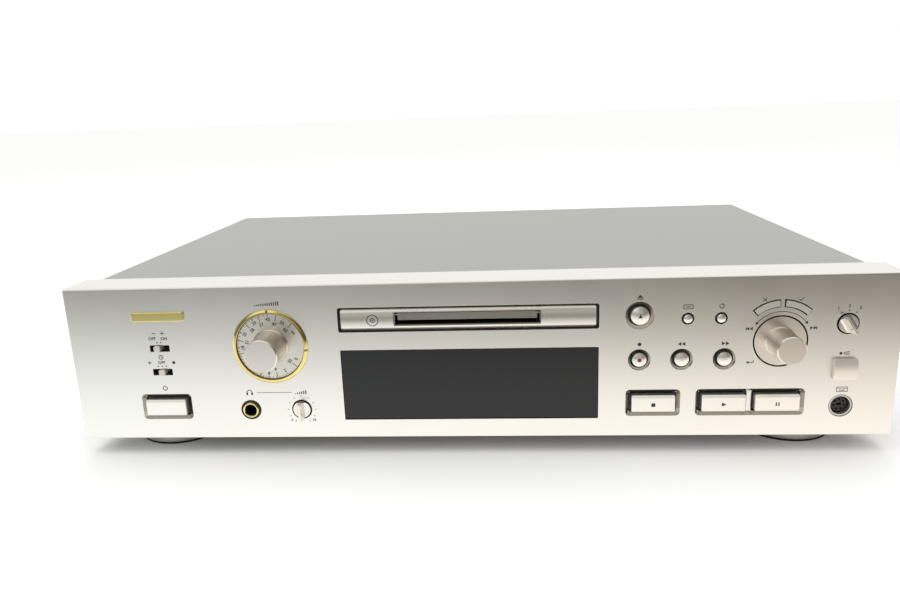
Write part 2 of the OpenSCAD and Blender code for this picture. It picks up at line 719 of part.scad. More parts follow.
module level_ring() color(gold) at_face() spot(level_x, level_z) difference() {
    crown = 0.4 * ring_band;
    ball = (ring_band * ring_band / 4 + crown * crown) / (2 * crown);
    turned() translate([ring_r - ring_band, 0]) {
        translate([0, crown - ring_proud]) square([ring_band, 1.2 + ring_proud - crown]);
        intersection() {
            translate([ring_band / 2, ball - ring_proud]) circle(ball);
            translate([0, -ring_proud]) square([ring_band, 2 * crown]);
        }
    }
    // slits across the band, at the top and a little below its right-hand side
    for (slit = [[90, 0.9], [-5, 0.5]]) rotate([0, -slit[0], 0])
        block([ring_r - ring_band - e, ring_r + e], [-ring_proud - e, ring_slit - ring_proud],
            [-slit[1] / 2, slit[1] / 2]);
}

module level_dial() color(champagne) at_face() spot(level_x, level_z) turned()
    translate([shaft_r + 0.02, 0]) {
        square([ring_r - ring_band - dial_gap - shaft_r - 0.02, 2.2]);
        square([3, 3]);
    }

module level_knob() color(champagne) at_face() spot(level_x, level_z) difference() {
    turned() knob_profile(level_r, level_reach, 0.9);
    rod_y(shaft_r + 0.02, 3 - level_reach, e);
}

module level_shaft() color(steel) at_face() spot(level_x, level_z)
    rod_y(shaft_r, 3.2 - level_reach, board_y - 4);

module level_pot() color("#5b5f62") at_face() spot(level_x, level_z) difference() {
    union() {
        slab(board_y - 6.5, board_y) round_rect(22, 22, 2);
        rod_y(shaft_r + 1.6, board_y - 8, board_y - 6);
    }
    rod_y(shaft_r + slack, 0, board_y - 3.8);
}

module jog_knob() color(champagne) at_face() spot(jog_x, jog_z) difference() {
    turned() {
        knob_profile(jog_r, jog_reach, 0.6);
        square([jog_hole_r - jog_gap, 2]);
    }
    rod_y(shaft_r + slack, 3 - jog_reach, 2 + e);
}

module jog_shaft() color(steel) at_face() spot(jog_x, jog_z)
    rod_y(shaft_r, 3.2 - jog_reach, board_y - key_travel - 0.5);

module jog_encoder() color("#5b5f62") at_face() spot(jog_x, jog_z) difference() {
    union() {
        slab(board_y - 6.5, board_y) round_rect(14, 14, 0.8);
        rod_y(shaft_r + 1.6, board_y - 8.5, board_y - 6);
    }
    rod_y(shaft_r + slack, 0, board_y - 0.2);
}

// A small pointer knob with a grip across it, which flares into the knob's disc
module pointer_knob(turn) rotate([0, turn, 0]) {
    cove = knob_r - grip_t / 2 - 0.9;
    foot = -0.4;             // where the flare meets the disc
    slab(-0.6, 2) circle(knob_r);
    intersection() {
        rod_y(knob_r - 0.1, -knob_reach, 0);
        translate([0, 0, -knob_r]) linear_extrude(2 * knob_r) difference() {
            union() {
                polygon([[-0.3 * grip_t, -knob_reach], [0.3 * grip_t, -knob_reach],
                    [grip_t / 2, foot - cove], [-grip_t / 2, foot - cove]]);
                translate([-grip_t / 2 - cove, foot - cove]) square([grip_t + 2 * cove, cove - foot]);
            }
            for (s = [-1, 1]) translate([s * (grip_t / 2 + cove), foot - cove]) circle(cove);
        }
    }
    slab(1, board_y - 3) circle(2);
}

module phones_knob() color(champagne) at_face() spot(phones_knob_x, phones_z) pointer_knob(0);
module selector_knob() color(champagne) at_face() spot(right_x, selector_z) pointer_knob(selector_turn);

// The rotary part behind a pointer knob
module pointer_base(w, h) difference() {
    slab(board_y - 6, board_y) round_rect(w, h, 0.6);
    rod_y(2 + slack, 0, board_y - 2.8);
}

module phones_pot() color("#5b5f62") at_face() spot(phones_knob_x, phones_z) pointer_base(10, 11);
module selector_switch() color("#5b5f62") at_face() spot(right_x, selector_z) pointer_base(11, 12);

module switch_lever() {
    slab(-1.4, 5.6) round_rect(lever_w, switch_h - 0.5, 0.8);
    slab(5.5, board_y - 2) square([1.6, 1.6], center = true);
}

module pitch_lever() color(champagne) at_face()
    spot(left_x - switch_step / 2, pitch_row_z) switch_lever();
module timer_lever() color(champagne) at_face() spot(left_x, timer_row_z) switch_lever();

// ---------- sockets on the face ----------

module phones_jack() color(black) at_face() spot(phones_x, phones_z) difference() {
    union() {
        rod_y(5.5, -0.4, panel_t);
        slab(panel_t, 16.5) round_rect(13, 13, 1);
    }
    rod_y(phones_r, -e, 14.5);
    rod_y(4.4 + slack, -e, 0.9);
}

module phones_ring() color(gold) at_face() spot(phones_x, phones_z) turned() difference() {
    union() {
        translate([phones_r, -0.6]) square([4.4 - phones_r, 1.5]);
        translate([3.8, -0.6]) circle(0.6, $fn = 32);
    }
    square([phones_r, 3]);
}

// Side profile of the cap's front: bowed, with its upper and lower edges rounded
module cap_front() intersection() {
    bow = 0.8;
    ball = (cap_h * cap_h / 4 + bow * bow) / (2 * bow);
    translate([ball - cap_proud, 0]) circle(ball, $fn = 128);
    round_rect(2 * cap_proud, cap_h, 1.2);
    translate([-cap_proud, -cap_h / 2]) square([cap_proud - 0.1, cap_h]);
}

module optical_cap() color(champagne) at_face() spot(right_x, cap_z) {
    intersection() {
        beam(-cap_w / 2, cap_w / 2) cap_front();
        slab(-cap_proud - e, 0) round_rect(cap_w, cap_h, 1);
    }
    slab(-0.2, 4.6) round_rect(optic_w - 1, optic_w - 1, 0.4);
}

module optical_input() color(black) at_face() spot(right_x, cap_z) difference() {
    slab(0.5, board_y) round_rect(cap_w - 2, cap_h - 2.5, 0.4);
    slab(-e, board_y - 1) round_rect(optic_w, optic_w, 0.5);
}

module keyboard_socket() color(black) at_face() spot(right_x, keyboard_z) difference() {
    union() {
        rod_y(keyboard_r - 0.3, 0.3, panel_t + e);
        slab(panel_t, board_y) round_rect(14, 13, 0.8);
    }
    // the shell stands free of the contact block, which lies deeper
    rod_y(4.9, 0, 2.2);
    difference() {
        rod_y(4.9, 0, 8);
        rod_y(4.1, -e, 9);
    }
    for (a = [0:51.43:309]) rotate([0, a + 115, 0]) translate([2.7, 0, 0]) rod_y(0.5, 0, 7);
    block([-1.1, 1.1], [0, 7], [-0.5, 0.5]);
}

// ---------- boards ----------

module control_board() color(board_green) at_face() difference() {
    half = panel_w / 2 - return_t - 3;
    slab(board_y, board_y + board_t) difference() {
        translate([-half, return_t + 1.5]) square([2 * half, panel_h - 2 * return_t - 3]);
        translate([mid_x - 75, window_z + window_h / 2 + 6]) square([150, panel_h]);
        translate([phones_x, phones_z]) square(14, center = true);
    }
    for (s = boss_spots) spot(s[0], s[1]) rod_y(1.3, board_y - e, board_y + board_t + e);
}

module board_switches() color("#3a3c3e") at_face() {
    for (s = key_spots) spot(s[0], s[1]) {
        slab(board_y - switch_t, board_y) round_rect(switch_side, switch_side, 0.4);
        slab(board_y - switch_t - 0.8, board_y - switch_t + 0.1) circle(1.7);
    }
    for (z = [pitch_row_z, timer_row_z]) spot(left_x, z) difference() {
        slab(board_y - 5.6, board_y) round_rect(switch_w + 4, switch_h + 3.4, 0.4);
        slab(0, board_y - 1.8) round_rect(2 * switch_step + 2.4, 2.2, 0.3);
    }
}

// A flat board with chips and capacitors: [x, y, width, depth, height]
module flat_board(b, chips, cans) {
    z = sheet_t + post_h;
    block(b[0], b[1], [z, z + board_t]);
    // stand-offs
    for (x = [b[0][0] + 6, b[0][1] - 6], y = [b[1][0] + 6, b[1][1] - 6])
        translate([x, y, sheet_t]) cylinder(r = 3, h = post_h + 0.1);
    for (c = chips) translate([b[0][0] + c[0], b[1][0] + c[1], z + board_t]) cube([c[2], c[3], c[4]]);
    for (c = cans) translate([b[0][0] + c[0], b[1][0] + c[1], z + board_t]) cylinder(r = c[2], h = c[3]);
}

module main_board() color(board_green) at_face() flat_board(main_box, main_chips, main_cans);

module power_board() color(board_green) at_face() {
    flat_board(power_box, power_chips, power_cans);
    // finned heat sink on the power transistors
    sink = power_chips[0];
    for (k = [0:7]) translate([power_box[0][0] + sink[0], power_box[1][0] + sink[1] + k * 8.2,
        sheet_t + post_h + board_t + sink[4] - 0.1]) cube([sink[2], 2.6, 28]);
}

// A laminated core with its winding, on a bracket with an ear at each side
module power_transformer() color("#6b5a3c") at_face() translate([transformer[0], transformer[1], sheet_t]) {
    core_w = 58;
    core_d = 24;
    core_h = 48;
    limb = 10;               // width of the core's limbs and windows, height of its yokes
    coil_out = 9;            // how far the winding stands out of the core
    ear = 9;
    difference() {
        block([-core_w / 2, core_w / 2], [-core_d / 2, core_d / 2], [0, core_h]);
        for (s = [-1, 1]) translate([s * (core_w / 2 - 1.5 * limb), 0, 0])
            block([-limb / 2, limb / 2], [-core_d / 2 - 1, core_d / 2 + 1], [limb, core_h - limb]);
    }
    block([limb - core_w / 2, core_w / 2 - limb], [-core_d / 2 - coil_out, core_d / 2 + coil_out],
        [limb + 0.2, core_h - limb - 0.2]);
    difference() {
        block([-core_w / 2 - ear, core_w / 2 + ear], [1 - core_d / 2, core_d / 2 - 1], [0, 1.5]);
        for (s = [-1, 1]) translate([s * (core_w + ear) / 2, 0, -e]) cylinder(r = 2, h = 4);
    }
}

// ---------- rear connectors ----------

module line_jacks() color("#2b2d2f") at_face() {
    top = line_zs[1] + 7;
    low = sheet_t + post_h + board_t;
    for (x = line_xs) translate([x, 0, 0]) difference() {
        union() {
            block([-6, 6], [rear_y - sheet_t - 11, rear_y - sheet_t], [low, top]);
            for (z = line_zs) spot(0, z) {
                rod_y(jack_boss_r, rear_y - sheet_t - e, body_d);
                rod_y(barrel_r, body_d - e, body_d + jack_reach);
            }
        }
        for (z = line_zs) spot(0, z) {
            rod_y(1.6, rear_y - 6, body_d + jack_reach + e);
            turned() translate([2.9, body_d + jack_reach - 1]) square([0.5, 2]);
        }
    }
}

module optical_jacks() color(black) at_face() for (x = optic_xs) spot(x, optic_z) difference() {
    union() {
        slab(rear_y - 13, rear_y - sheet_t) round_rect(13, 12, 0.5);
        slab(rear_y - sheet_t - e, rear_y + 0.4) round_rect(8.6, 8.6, 0.5);
    }
    slab(rear_y + 0.4 - optic_d, rear_y + e) round_rect(optic_w, optic_w, 0.6);
}

module inlet_outline(grow) {
    r = inlet_h / 2 + grow;
    for (s = [-1, 1]) translate([s * (inlet_w - inlet_h) / 2, 0]) circle(r);
    square([inlet_w - inlet_h, 2 * r], center = true);
}

module ac_inlet() color(black) at_face() spot(inlet_x, inlet_z) {
    difference() {
        union() {
            slab(rear_y - inlet_d, rear_y + e) inlet_outline(1.4);
            slab(rear_y, rear_y + 1.6) round_rect(inlet_w + 8, inlet_h + 6, 2);
        }
        slab(rear_y + 1.6 - inlet_d, rear_y + 2 * e) inlet_outline(0);
    }
    for (s = [-1, 1]) translate([s * 4.3, 0, 0]) rod_y(1.15, rear_y + 1.4 - inlet_d, rear_y - 1);
}

// ---------- disc mechanism ----------

module at_mech() at_face() translate([mid_x, 0, 0]) children();

module mech_frame() color(steel) at_mech() {
    difference() {
        union() {
            block([frame_x0, frame_x1], [frame_y0, frame_y1], [frame_z, plate_z]);
            for (p = mech_posts) translate([p[0], p[1], sheet_t]) cylinder(r = post_r, h = frame_z);
            for (x = [[-wall_out, -wall_in], [wall_in, wall_out]])
                block(x, [frame_y0, holder_y + 74], [plate_z, holder_top]);
            // posts for the rods and the lead screw
            for (y = [spindle_y - rail_gap, spindle_y + rail_gap, spindle_y + screw_gap])
                for (x = [post_x0, post_x1])
                    block([x, x + post_w], [y - 2.5, y + 2.5], [plate_z, rail_z + 3]);
            translate([-wall_in, gear_y, pitch_z - gear_r]) rod_x(1, -5, 0);
        }
        // upright slots for the holder's pins
        for (y = pin_ys) beam(-wall_out - e, wall_out + e)
            track([y, pin_z - lift], [y, pin_z], pin_r + 0.2);
        // arch that the pickup sled passes under
        block([wall_in - e, wall_out + e], [spindle_y - 20, spindle_y + 25], [plate_z, plate_z + 16]);
        for (y = [spindle_y - rail_gap, spindle_y + rail_gap]) translate([0, y, rail_z])
            rod_x(rail_r + 0.02, post_x0 - e, post_x1 + post_w + e);
        translate([0, spindle_y + screw_gap, rail_z])
            rod_x(rail_r + slack, post_x0 - e, post_x1 + post_w + e);
        translate([0, spindle_y, frame_z - e]) cylinder(r = 5, h = frame_t + 2 * e);
        for (p = mech_posts) translate([p[0], p[1], frame_z - 8]) cylinder(r = 1.6, h = 12);
    }
}

module disc_holder() color(steel) at_mech() {
    difference() {
        block([-holder_half, holder_half], [holder_y, holder_y + chamber_d + holder_t],
            [holder_z, holder_top]);
        block([-chamber_w / 2, chamber_w / 2], [holder_y - e, holder_y + chamber_d],
            [holder_z + holder_t, holder_top - holder_t]);
        // open underneath, but for a lip along each side
        block([4 - chamber_w / 2, chamber_w / 2 - 4], [holder_y - e, holder_y + chamber_d + e],
            [holder_z - e, holder_z + holder_t + e]);
        // window for the recording head
        block([12, holder_half - 6], [spindle_y - 8, spindle_y + 8], [holder_top - 2, holder_top + e]);
        block([-24, 4], [holder_y + 8, holder_y + 22], [holder_top - 2, holder_top + e]);
    }
    for (y = pin_ys) translate([0, y, pin_z]) {
        rod_x(pin_r, cam_x1 - cam_t - 0.6, -chamber_w / 2);
        rod_x(pin_r, chamber_w / 2, wall_out + 1.2);
    }
}

// A straight-sided gear tooth that points along +Y, from the pitch line
module tooth(high, deep) polygon([[-0.55 - deep * 0.36, -deep], [-0.55 + high * 0.36, high],
    [0.55 - high * 0.36, high], [0.55 + deep * 0.36, -deep]] * tooth_m / 0.8);

module cam_slider() color("#d8d8d2") at_mech() difference() {
    beam(cam_x1 - cam_t, cam_x1) {
        translate([pin_ys[0] - 12, pitch_z + tooth_m]) square([56, holder_top + 0.6 - pitch_z - tooth_m]);
        // rack along the bottom edge
        for (k = [-5:1]) translate([gear_y + (k + 0.5) * PI * tooth_m, pitch_z])
            mirror([0, 1]) tooth(0.6 * tooth_m, 1.3 * tooth_m);
    }
    for (y = pin_ys) beam(cam_x1 - cam_t - e, cam_x1 + e)
        track([y, pin_z], [y - cam_slope * lift, pin_z - lift], pin_r + 0.2);
}

module loading_gear() color("#e4e2d8") at_mech() translate([0, gear_y, pitch_z - gear_r])
    difference() {
        union() {
            rod_x(gear_r - 1.1 * tooth_m, cam_x1 - cam_t, cam_x1);
            for (k = [0:gear_n - 1]) rotate([k * 360 / gear_n, 0, 0]) beam(cam_x1 - cam_t, cam_x1)
                translate([0, gear_r]) tooth(0.6 * tooth_m, 2 * tooth_m);
        }
        rod_x(1 + slack, cam_x1 - cam_t - e, cam_x1 + e);
    }

module spindle_motor() color("#7e8285") at_mech() translate([0, spindle_y, plate_z]) difference() {
    union() {
        cylinder(r = table_r + 0.6, h = 9);
        cylinder(r = 3, h = 10.5);
    }
    translate([0, 0, -e]) cylinder(r = 1 + slack, h = 14);
}

module turntable() color("#c7c8c6") at_mech() translate([0, spindle_y, 0]) rotate_extrude() {
    table_z = holder_z - lift + holder_t + 0.6;
    translate([0, plate_z + 1]) square([1, table_z - plate_z - 2]);
    polygon([[0, plate_z + 11], [table_r - 1.5, plate_z + 11], [table_r, plate_z + 12.5],
        [table_r, table_z - 1.6], [3.4, table_z - 1.6], [2.6, table_z], [0, table_z]]);
}

module guide_rods() color("#cfd1d3") at_mech() for (s = [-1, 1])
    translate([0, spindle_y + s * rail_gap, rail_z]) rod_x(rail_r, post_x0 - 0.5, post_x1 + post_w + 0.5);

module lead_screw() color("#cfd1d3") at_mech() translate([0, spindle_y + screw_gap, rail_z])
    rod_x(rail_r, post_x0 - 0.5, post_x1 + post_w + 1);

sled_x0 = post_x0 + post_w + 0.5;
sled_x1 = sled_x0 + 24;
module pickup_sled() color("#4b4e50") at_mech() difference() {
    union() {
        block([sled_x0, sled_x1], [spindle_y - rail_gap - 4, spindle_y + rail_gap + 4],
            [plate_z + 2.4, rail_z + 4]);
        translate([sled_x0 + 4.5, spindle_y, rail_z]) cylinder(r = 4, h = 7);
        // half nut round the lead screw
        block([sled_x0, sled_x0 + 8], [spindle_y + rail_gap + 3, spindle_y + screw_gap + 2.8],
            [rail_z - 3, rail_z + 3]);
        // arm that carries the recording head over the disc
        block([sled_x1 - 3, wall_out + 4.2], [spindle_y - 6, spindle_y + 6], [plate_z + 2.4, rail_z]);
        block([wall_out + 2.2, wall_out + 4.2], [spindle_y - 6, spindle_y + 6],
            [plate_z + 2.4, holder_top + 3.4]);
        block([sled_x0 + 1, wall_out + 4.2], [spindle_y - 5, spindle_y + 5],
            [holder_top + 2, holder_top + 3.4]);
        block([sled_x0 + 1, sled_x0 + 8], [spindle_y - 3, spindle_y + 3],
            [holder_top + 0.4, holder_top + 3.4]);
    }
    for (s = [-1, 1]) translate([0, spindle_y + s * rail_gap, rail_z])
        rod_x(rail_r + slack, sled_x0 - e, sled_x1 + e);
    translate([0, spindle_y + screw_gap, rail_z]) rod_x(rail_r + slack, sled_x0 - e, sled_x0 + 9);
}

module drive_motors() color("#8a8d8f") at_mech() {
    // sled motor at the lead screw's end, and loading motor at the back
    translate([0, spindle_y + screw_gap, rail_z]) rod_x(6, post_x1 + post_w + 1.6, frame_x1 - 1);
    block([post_x1 + post_w + 3, frame_x1 - 3],
        [spindle_y + screw_gap - 4, spindle_y + screw_gap + 4], [plate_z, rail_z - 3]);
    translate([0, motor_y, plate_z + 9]) rod_x(8, -34, -10);
    translate([0, motor_y, plate_z + 9]) rod_x(1, -40, -34);
    block([-30, -14], [motor_y - 6, motor_y + 6], [plate_z, plate_z + 6]);
}

// ---------- what is drawn ----------

front_panel();
top_cover();
chassis_tray();
rear_panel();
feet();
foot_pads();
case_screws();
display_window();
display_tube();
slot_bezel();
slot_flap();
level_ring();
level_dial();
level_knob();
level_shaft();
level_pot();
phones_jack();
phones_ring();
phones_knob();
phones_pot();
pitch_lever();
timer_lever();
power_button();
eject_button();
display_button();
play_mode_button();
record_button();
rewind_button();
forward_button();
stop_button();
play_button();
pause_button();
edit_button();
yes_button();
jog_knob();
jog_shaft();
jog_encoder();
selector_knob();
selector_switch();
optical_cap();
optical_input();
keyboard_socket();
control_board();
board_switches();
main_board();
power_board();
power_transformer();
line_jacks();
optical_jacks();
ac_inlet();
mech_frame();
disc_holder();
cam_slider();
loading_gear();
spindle_motor();
turntable();
guide_rods();
pickup_sled();
lead_screw();
drive_motors();
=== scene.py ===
import math

import bmesh
import bpy
from mathutils import Euler, Matrix, Vector
from mathutils.bvhtree import BVHTree


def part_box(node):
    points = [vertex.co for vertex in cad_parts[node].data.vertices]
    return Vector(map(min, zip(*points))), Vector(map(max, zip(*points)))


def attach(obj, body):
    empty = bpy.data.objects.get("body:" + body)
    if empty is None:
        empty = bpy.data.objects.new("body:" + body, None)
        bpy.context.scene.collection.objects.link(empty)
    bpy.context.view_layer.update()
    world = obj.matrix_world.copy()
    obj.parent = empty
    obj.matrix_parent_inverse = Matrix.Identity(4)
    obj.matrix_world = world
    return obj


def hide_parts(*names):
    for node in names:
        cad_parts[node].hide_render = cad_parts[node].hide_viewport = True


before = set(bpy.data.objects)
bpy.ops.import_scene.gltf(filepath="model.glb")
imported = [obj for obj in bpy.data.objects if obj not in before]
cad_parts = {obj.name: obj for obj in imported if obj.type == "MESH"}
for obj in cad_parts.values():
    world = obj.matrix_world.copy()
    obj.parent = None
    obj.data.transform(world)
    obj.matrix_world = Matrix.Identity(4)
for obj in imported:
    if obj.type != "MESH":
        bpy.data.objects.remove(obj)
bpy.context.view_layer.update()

# Looks of a full-width minidisc deck. Layout sizes are in millimetres, seen from the front:
# across from the fascia's middle and up from its lower edge.

MM = 0.001
FASCIA_LOW, FASCIA_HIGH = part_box("front_panel")
FACE = FASCIA_LOW.y
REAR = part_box("top_cover")[1].y
BODY = "cabinet"
INK_LIFT = 0.03         # how far print stands off its surface
AWAY = 60               # how far off the deck its surfaces are probed from, past the longest knob


def middle(*names):
    """Middle of some CAD nodes together, across and up the face."""
    boxes = [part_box(name) for name in names]
    across = min(b[0].x for b in boxes) + max(b[1].x for b in boxes)
    up = min(b[0].z for b in boxes) + max(b[1].z for b in boxes)
    return Vector((across / 2 / MM, (up / 2 - FASCIA_LOW.z) / MM))


def in_frame(x, z, proud=0.0):
    """A place on the face, or proud of it, in the frame's metres."""
    return Vector((x * MM, FACE - proud * MM, FASCIA_LOW.z + z * MM))


LEVEL = middle("level_ring")
JOG = middle("jog_knob")
PHONES = middle("phones_jack")
PHONES_LEVEL = middle("phones_knob")
SELECTOR = middle("selector_switch")
CAP = middle("optical_cap")
KEYBOARD = middle("keyboard_socket")
POWER = middle("power_button")
TIMER = middle("timer_lever")
PITCH = Vector((TIMER.x, middle("pitch_lever").y))
SLOT = middle("slot_bezel")

# ---------- materials ----------


def linear(hex_colour):
    """An sRGB hex colour as linear RGBA."""
    parts = [int(hex_colour[k:k + 2], 16) / 255 for k in (1, 3, 5)]
    return [p / 12.92 if p <= 0.04045 else ((p + 0.055) / 1.055) ** 2.4 for p in parts] + [1.0]


def add(tree, kind, inputs=None, **settings):
    """Adds a shader node. Each input takes a value, or the socket that it is linked to."""
    made = tree.nodes.new("ShaderNode" + kind)
    for name, value in settings.items():
        setattr(made, name, value)
    for name, value in (inputs or {}).items():
        if isinstance(value, bpy.types.NodeSocket):
            tree.links.new(value, made.inputs[name])
        else:
            made.inputs[name].default_value = value
    return made


def surface(name, colour, roughness, metallic=0.0, **sockets):
    """A material with its Principled shader: (material, tree, shader)."""
    made = bpy.data.materials.new(name)
    made.use_nodes = True
    tree = made.node_tree
    tree.nodes.clear()
    shader = add(tree, "BsdfPrincipled", {"Base Color": linear(colour), "Roughness": roughness,
                                          "Metallic": metallic, **sockets})
    add(tree, "OutputMaterial", {"Surface": shader.outputs[0]})
    return made, tree, shader


CLOUD = 35              # mm, size of the soft clouds in a skin
CLOUD_ROUGH = 0.03      # how much they change its roughness, each way
CLOUD_SHADE = 0.04      # and its brightness
RING_PERIOD = 0.314     # distance from one ring to the next of a ring texture at scale 1


def satin(name, colour, roughness, metallic, grain, height, edge=0.15, **sockets):
    """A blasted, painted or moulded skin: an even grain, softly cloudy, its edges a little broken."""
    made, tree, shader = surface(name, colour, roughness, metallic, **sockets)
    place = add(tree, "TexCoord").outputs["Object"]
    speck = add(tree, "TexNoise", {"Vector": place, "Scale": 1 / (grain * MM), "Detail": 2.0})
    cloud = add(tree, "TexNoise", {"Vector": place, "Scale": 1 / (CLOUD * MM), "Detail": 3.0})
    broken = add(tree, "Bevel", {"Radius": edge * MM}, samples=4)
    bump = add(tree, "Bump", {"Height": speck.outputs[0], "Distance": height * MM,
                              "Strength": 0.5, "Normal": broken.outputs[0]})
    tree.links.new(bump.outputs[0], shader.inputs["Normal"])
    rough = add(tree, "MapRange", {"Value": cloud.outputs[0], "To Min": roughness - CLOUD_ROUGH,
                                   "To Max": roughness + CLOUD_ROUGH})
    tree.links.new(rough.outputs[0], shader.inputs["Roughness"])
    shade = add(tree, "MapRange", {"Value": cloud.outputs[0], "To Min": 1 - CLOUD_SHADE,
                                   "To Max": 1 + CLOUD_SHADE})
    tone = add(tree, "HueSaturation", {"Color": linear(colour), "Value": shade.outputs[0]})
    tree.links.new(tone.outputs[0], shader.inputs["Base Color"])
    return made, tree, shader


def turned(name, colour, centre, pitch, roughness=0.3):
    """Aluminium faced on a lathe and anodised: faint rings, one tool pitch apart."""
    made, tree, shader = surface(name, colour, roughness, 1.0)
    place = add(tree, "TexCoord").outputs["Object"]
    moved = add(tree, "Mapping", {"Vector": place,
                                  "Location": -in_frame(centre.x, centre.y)})
    rings = add(tree, "TexWave", {"Vector": moved.outputs[0], "Scale": RING_PERIOD / (pitch * MM),
                                  "Distortion": 0.6}, wave_type="RINGS", rings_direction="Y")
    broken = add(tree, "Bevel", {"Radius": 0.2 * MM}, samples=4)
    bump = add(tree, "Bump", {"Height": rings.outputs[1], "Distance": 0.004 * MM,
                              "Strength": 0.4, "Normal": broken.outputs[0]})
    tree.links.new(bump.outputs[0], shader.inputs["Normal"])
    return made


def lay_over(tree, shader, mask, colour):
    """Lays another colour over a satin skin's own, where a mask is 1."""
    held = shader.inputs["Base Color"]
    tone = add(tree, "MixRGB", {"Fac": mask, "Color1": held.links[0].from_socket,
                                "Color2": linear(colour)})
    tree.links.new(tone.outputs[0], held)


def change_behind(tree, shader, low, high, colour, metal=0.0):
    """Changes a satin skin's colour and metal between two depths of the frame."""
    place = add(tree, "SeparateXYZ", {"Vector": add(tree, "TexCoord").outputs["Object"]})
    mask = add(tree, "MapRange", {"Value": place.outputs["Y"], "From Min": low, "From Max": high})
    lay_over(tree, shader, mask.outputs[0], colour)
    mixed = add(tree, "MapRange", {"Value": mask.outputs[0], "To Max": metal,
                                   "To Min": shader.inputs["Metallic"].default_value})
    tree.links.new(mixed.outputs[0], shader.inputs["Metallic"])


def squarely_ahead(tree):
    """How squarely a surface faces the front: 1 on the flat of the front, 0 on a side."""
    facing = add(tree, "SeparateXYZ", {"Vector": add(tree, "NewGeometry").outputs["True Normal"]})
    return add(tree, "Math", {0: facing.outputs["Y"]}, operation="ABSOLUTE").outputs[0]


# Chamfers and dishes are painted this darker grey: painted shade, standing for the darker surroundings
# they reflect. Their lower roughness is the cut finish.
CHAMFER_PAINTED_SHADE = "#a8a49b"
CUT_ROUGHNESS = 0.16
TOP_EDGE = (3 * MM, 2 * MM)     # the fascia's upper edge isn't cut: from here up it stays blasted
KEY_LACQUER_AND_SHADE = (FACE + 2.4 * MM, FACE + 2.8 * MM)      # where the lacquer on a key runs out into its black skirt, which also paints shade into the gap round the key
PLATE_PAINTED_SHADE = (FACE + 2.0 * MM, FACE + 2.6 * MM)    # where the slot plate turns black behind its front: painted shade in the gap round it


def anodised_fascia():
    """Aluminium blasted with glass beads and anodised champagne, its chamfers cut smoother after and
    painted a darker grey: painted shade on the bevels and dishes round the keys.
    """
    made, tree, shader = satin("anodised_aluminium_blasted", "#f1eee7", 0.31, 1.0, 0.25, 0.006,
                               edge=0.25)
    place = add(tree, "SeparateXYZ", {"Vector": add(tree, "TexCoord").outputs["Object"]})
    ahead = squarely_ahead(tree)
    sloped = add(tree, "MapRange", {"Value": ahead, "From Min": 0.97, "From Max": 0.93})
    no_wall = add(tree, "MapRange", {"Value": ahead, "From Min": 0.2, "From Max": 0.3})
    lower = add(tree, "MapRange", {"Value": place.outputs["Z"], "To Min": 1.0, "To Max": 0.0,
                                   "From Min": FASCIA_HIGH.z - TOP_EDGE[0],
                                   "From Max": FASCIA_HIGH.z - TOP_EDGE[1]})
    slant = add(tree, "Math", {0: sloped.outputs[0], 1: no_wall.outputs[0]}, operation="MULTIPLY")
    cut = add(tree, "Math", {0: slant.outputs[0], 1: lower.outputs[0]}, operation="MULTIPLY")
    blasted = shader.inputs["Roughness"].links[0].from_socket
    rough = add(tree, "MapRange", {"Value": cut.outputs[0], "To Min": blasted, "To Max": CUT_ROUGHNESS})
    tree.links.new(rough.outputs[0], shader.inputs["Roughness"])
    # painted shade: the chamfers and dishes are darkened
    lay_over(tree, shader, cut.outputs[0], CHAMFER_PAINTED_SHADE)
    return made


def painted_keys():
    """ABS moulded black, its front sprayed with champagne metallic lacquer: the skirt stays black, which
    also stands as painted shade in the gap round each key.
    """
    made, tree, shader = satin("abs_moulded_lacquered_key", "#f6f2ea", 0.3, 0.9, 0.3, 0.004, edge=0.3)
    # black skirt: the black moulding, and also painted shade in the gap round the key
    change_behind(tree, shader, *KEY_LACQUER_AND_SHADE, "#191817")
    return made


PLATE_HALF = 5.65               # mm, half the slot plate's height
PLATE_BOW = 20.35               # mm, radius of its bowed front
PLATE_LEAN = 0.06               # slope at its middle, where it leans back
PLATE_ROUND = 1.7               # mm, how far its upper and lower edges are rounded over
PLATE_TURN = 1.15               # slope that the rounding adds at the very edge
PLATE_FRONT = 0.85              # mm, how far back its bowed front reaches
SLOT_UP = 0.05                  # mm, the slot's middle over the plate's
BEVEL_SPAN = (38.8, 4.1)        # mm, from the slot's middle to the outer edge of its bevel


def outside_bevel(tree, place):
    """1 on the slot plate outside its slot's bevel, 0 on the bevel and within."""
    spans = []
    middles = (SLOT.x * MM, FASCIA_LOW.z + (SLOT.y + SLOT_UP) * MM)
    for axis, at, span in zip("XZ", middles, BEVEL_SPAN):
        aside = add(tree, "Math", {0: place.outputs[axis], 1: at}, operation="SUBTRACT")
        size = add(tree, "Math", {0: aside.outputs[0]}, operation="ABSOLUTE")
        spans.append(add(tree, "Math", {0: size.outputs[0], 1: span * MM}, operation="DIVIDE"))
    out = add(tree, "Math", {0: spans[0].outputs[0], 1: spans[1].outputs[0]}, operation="MAXIMUM")
    return add(tree, "Math", {0: out.outputs[0], 1: 1.0}, operation="GREATER_THAN").outputs[0]


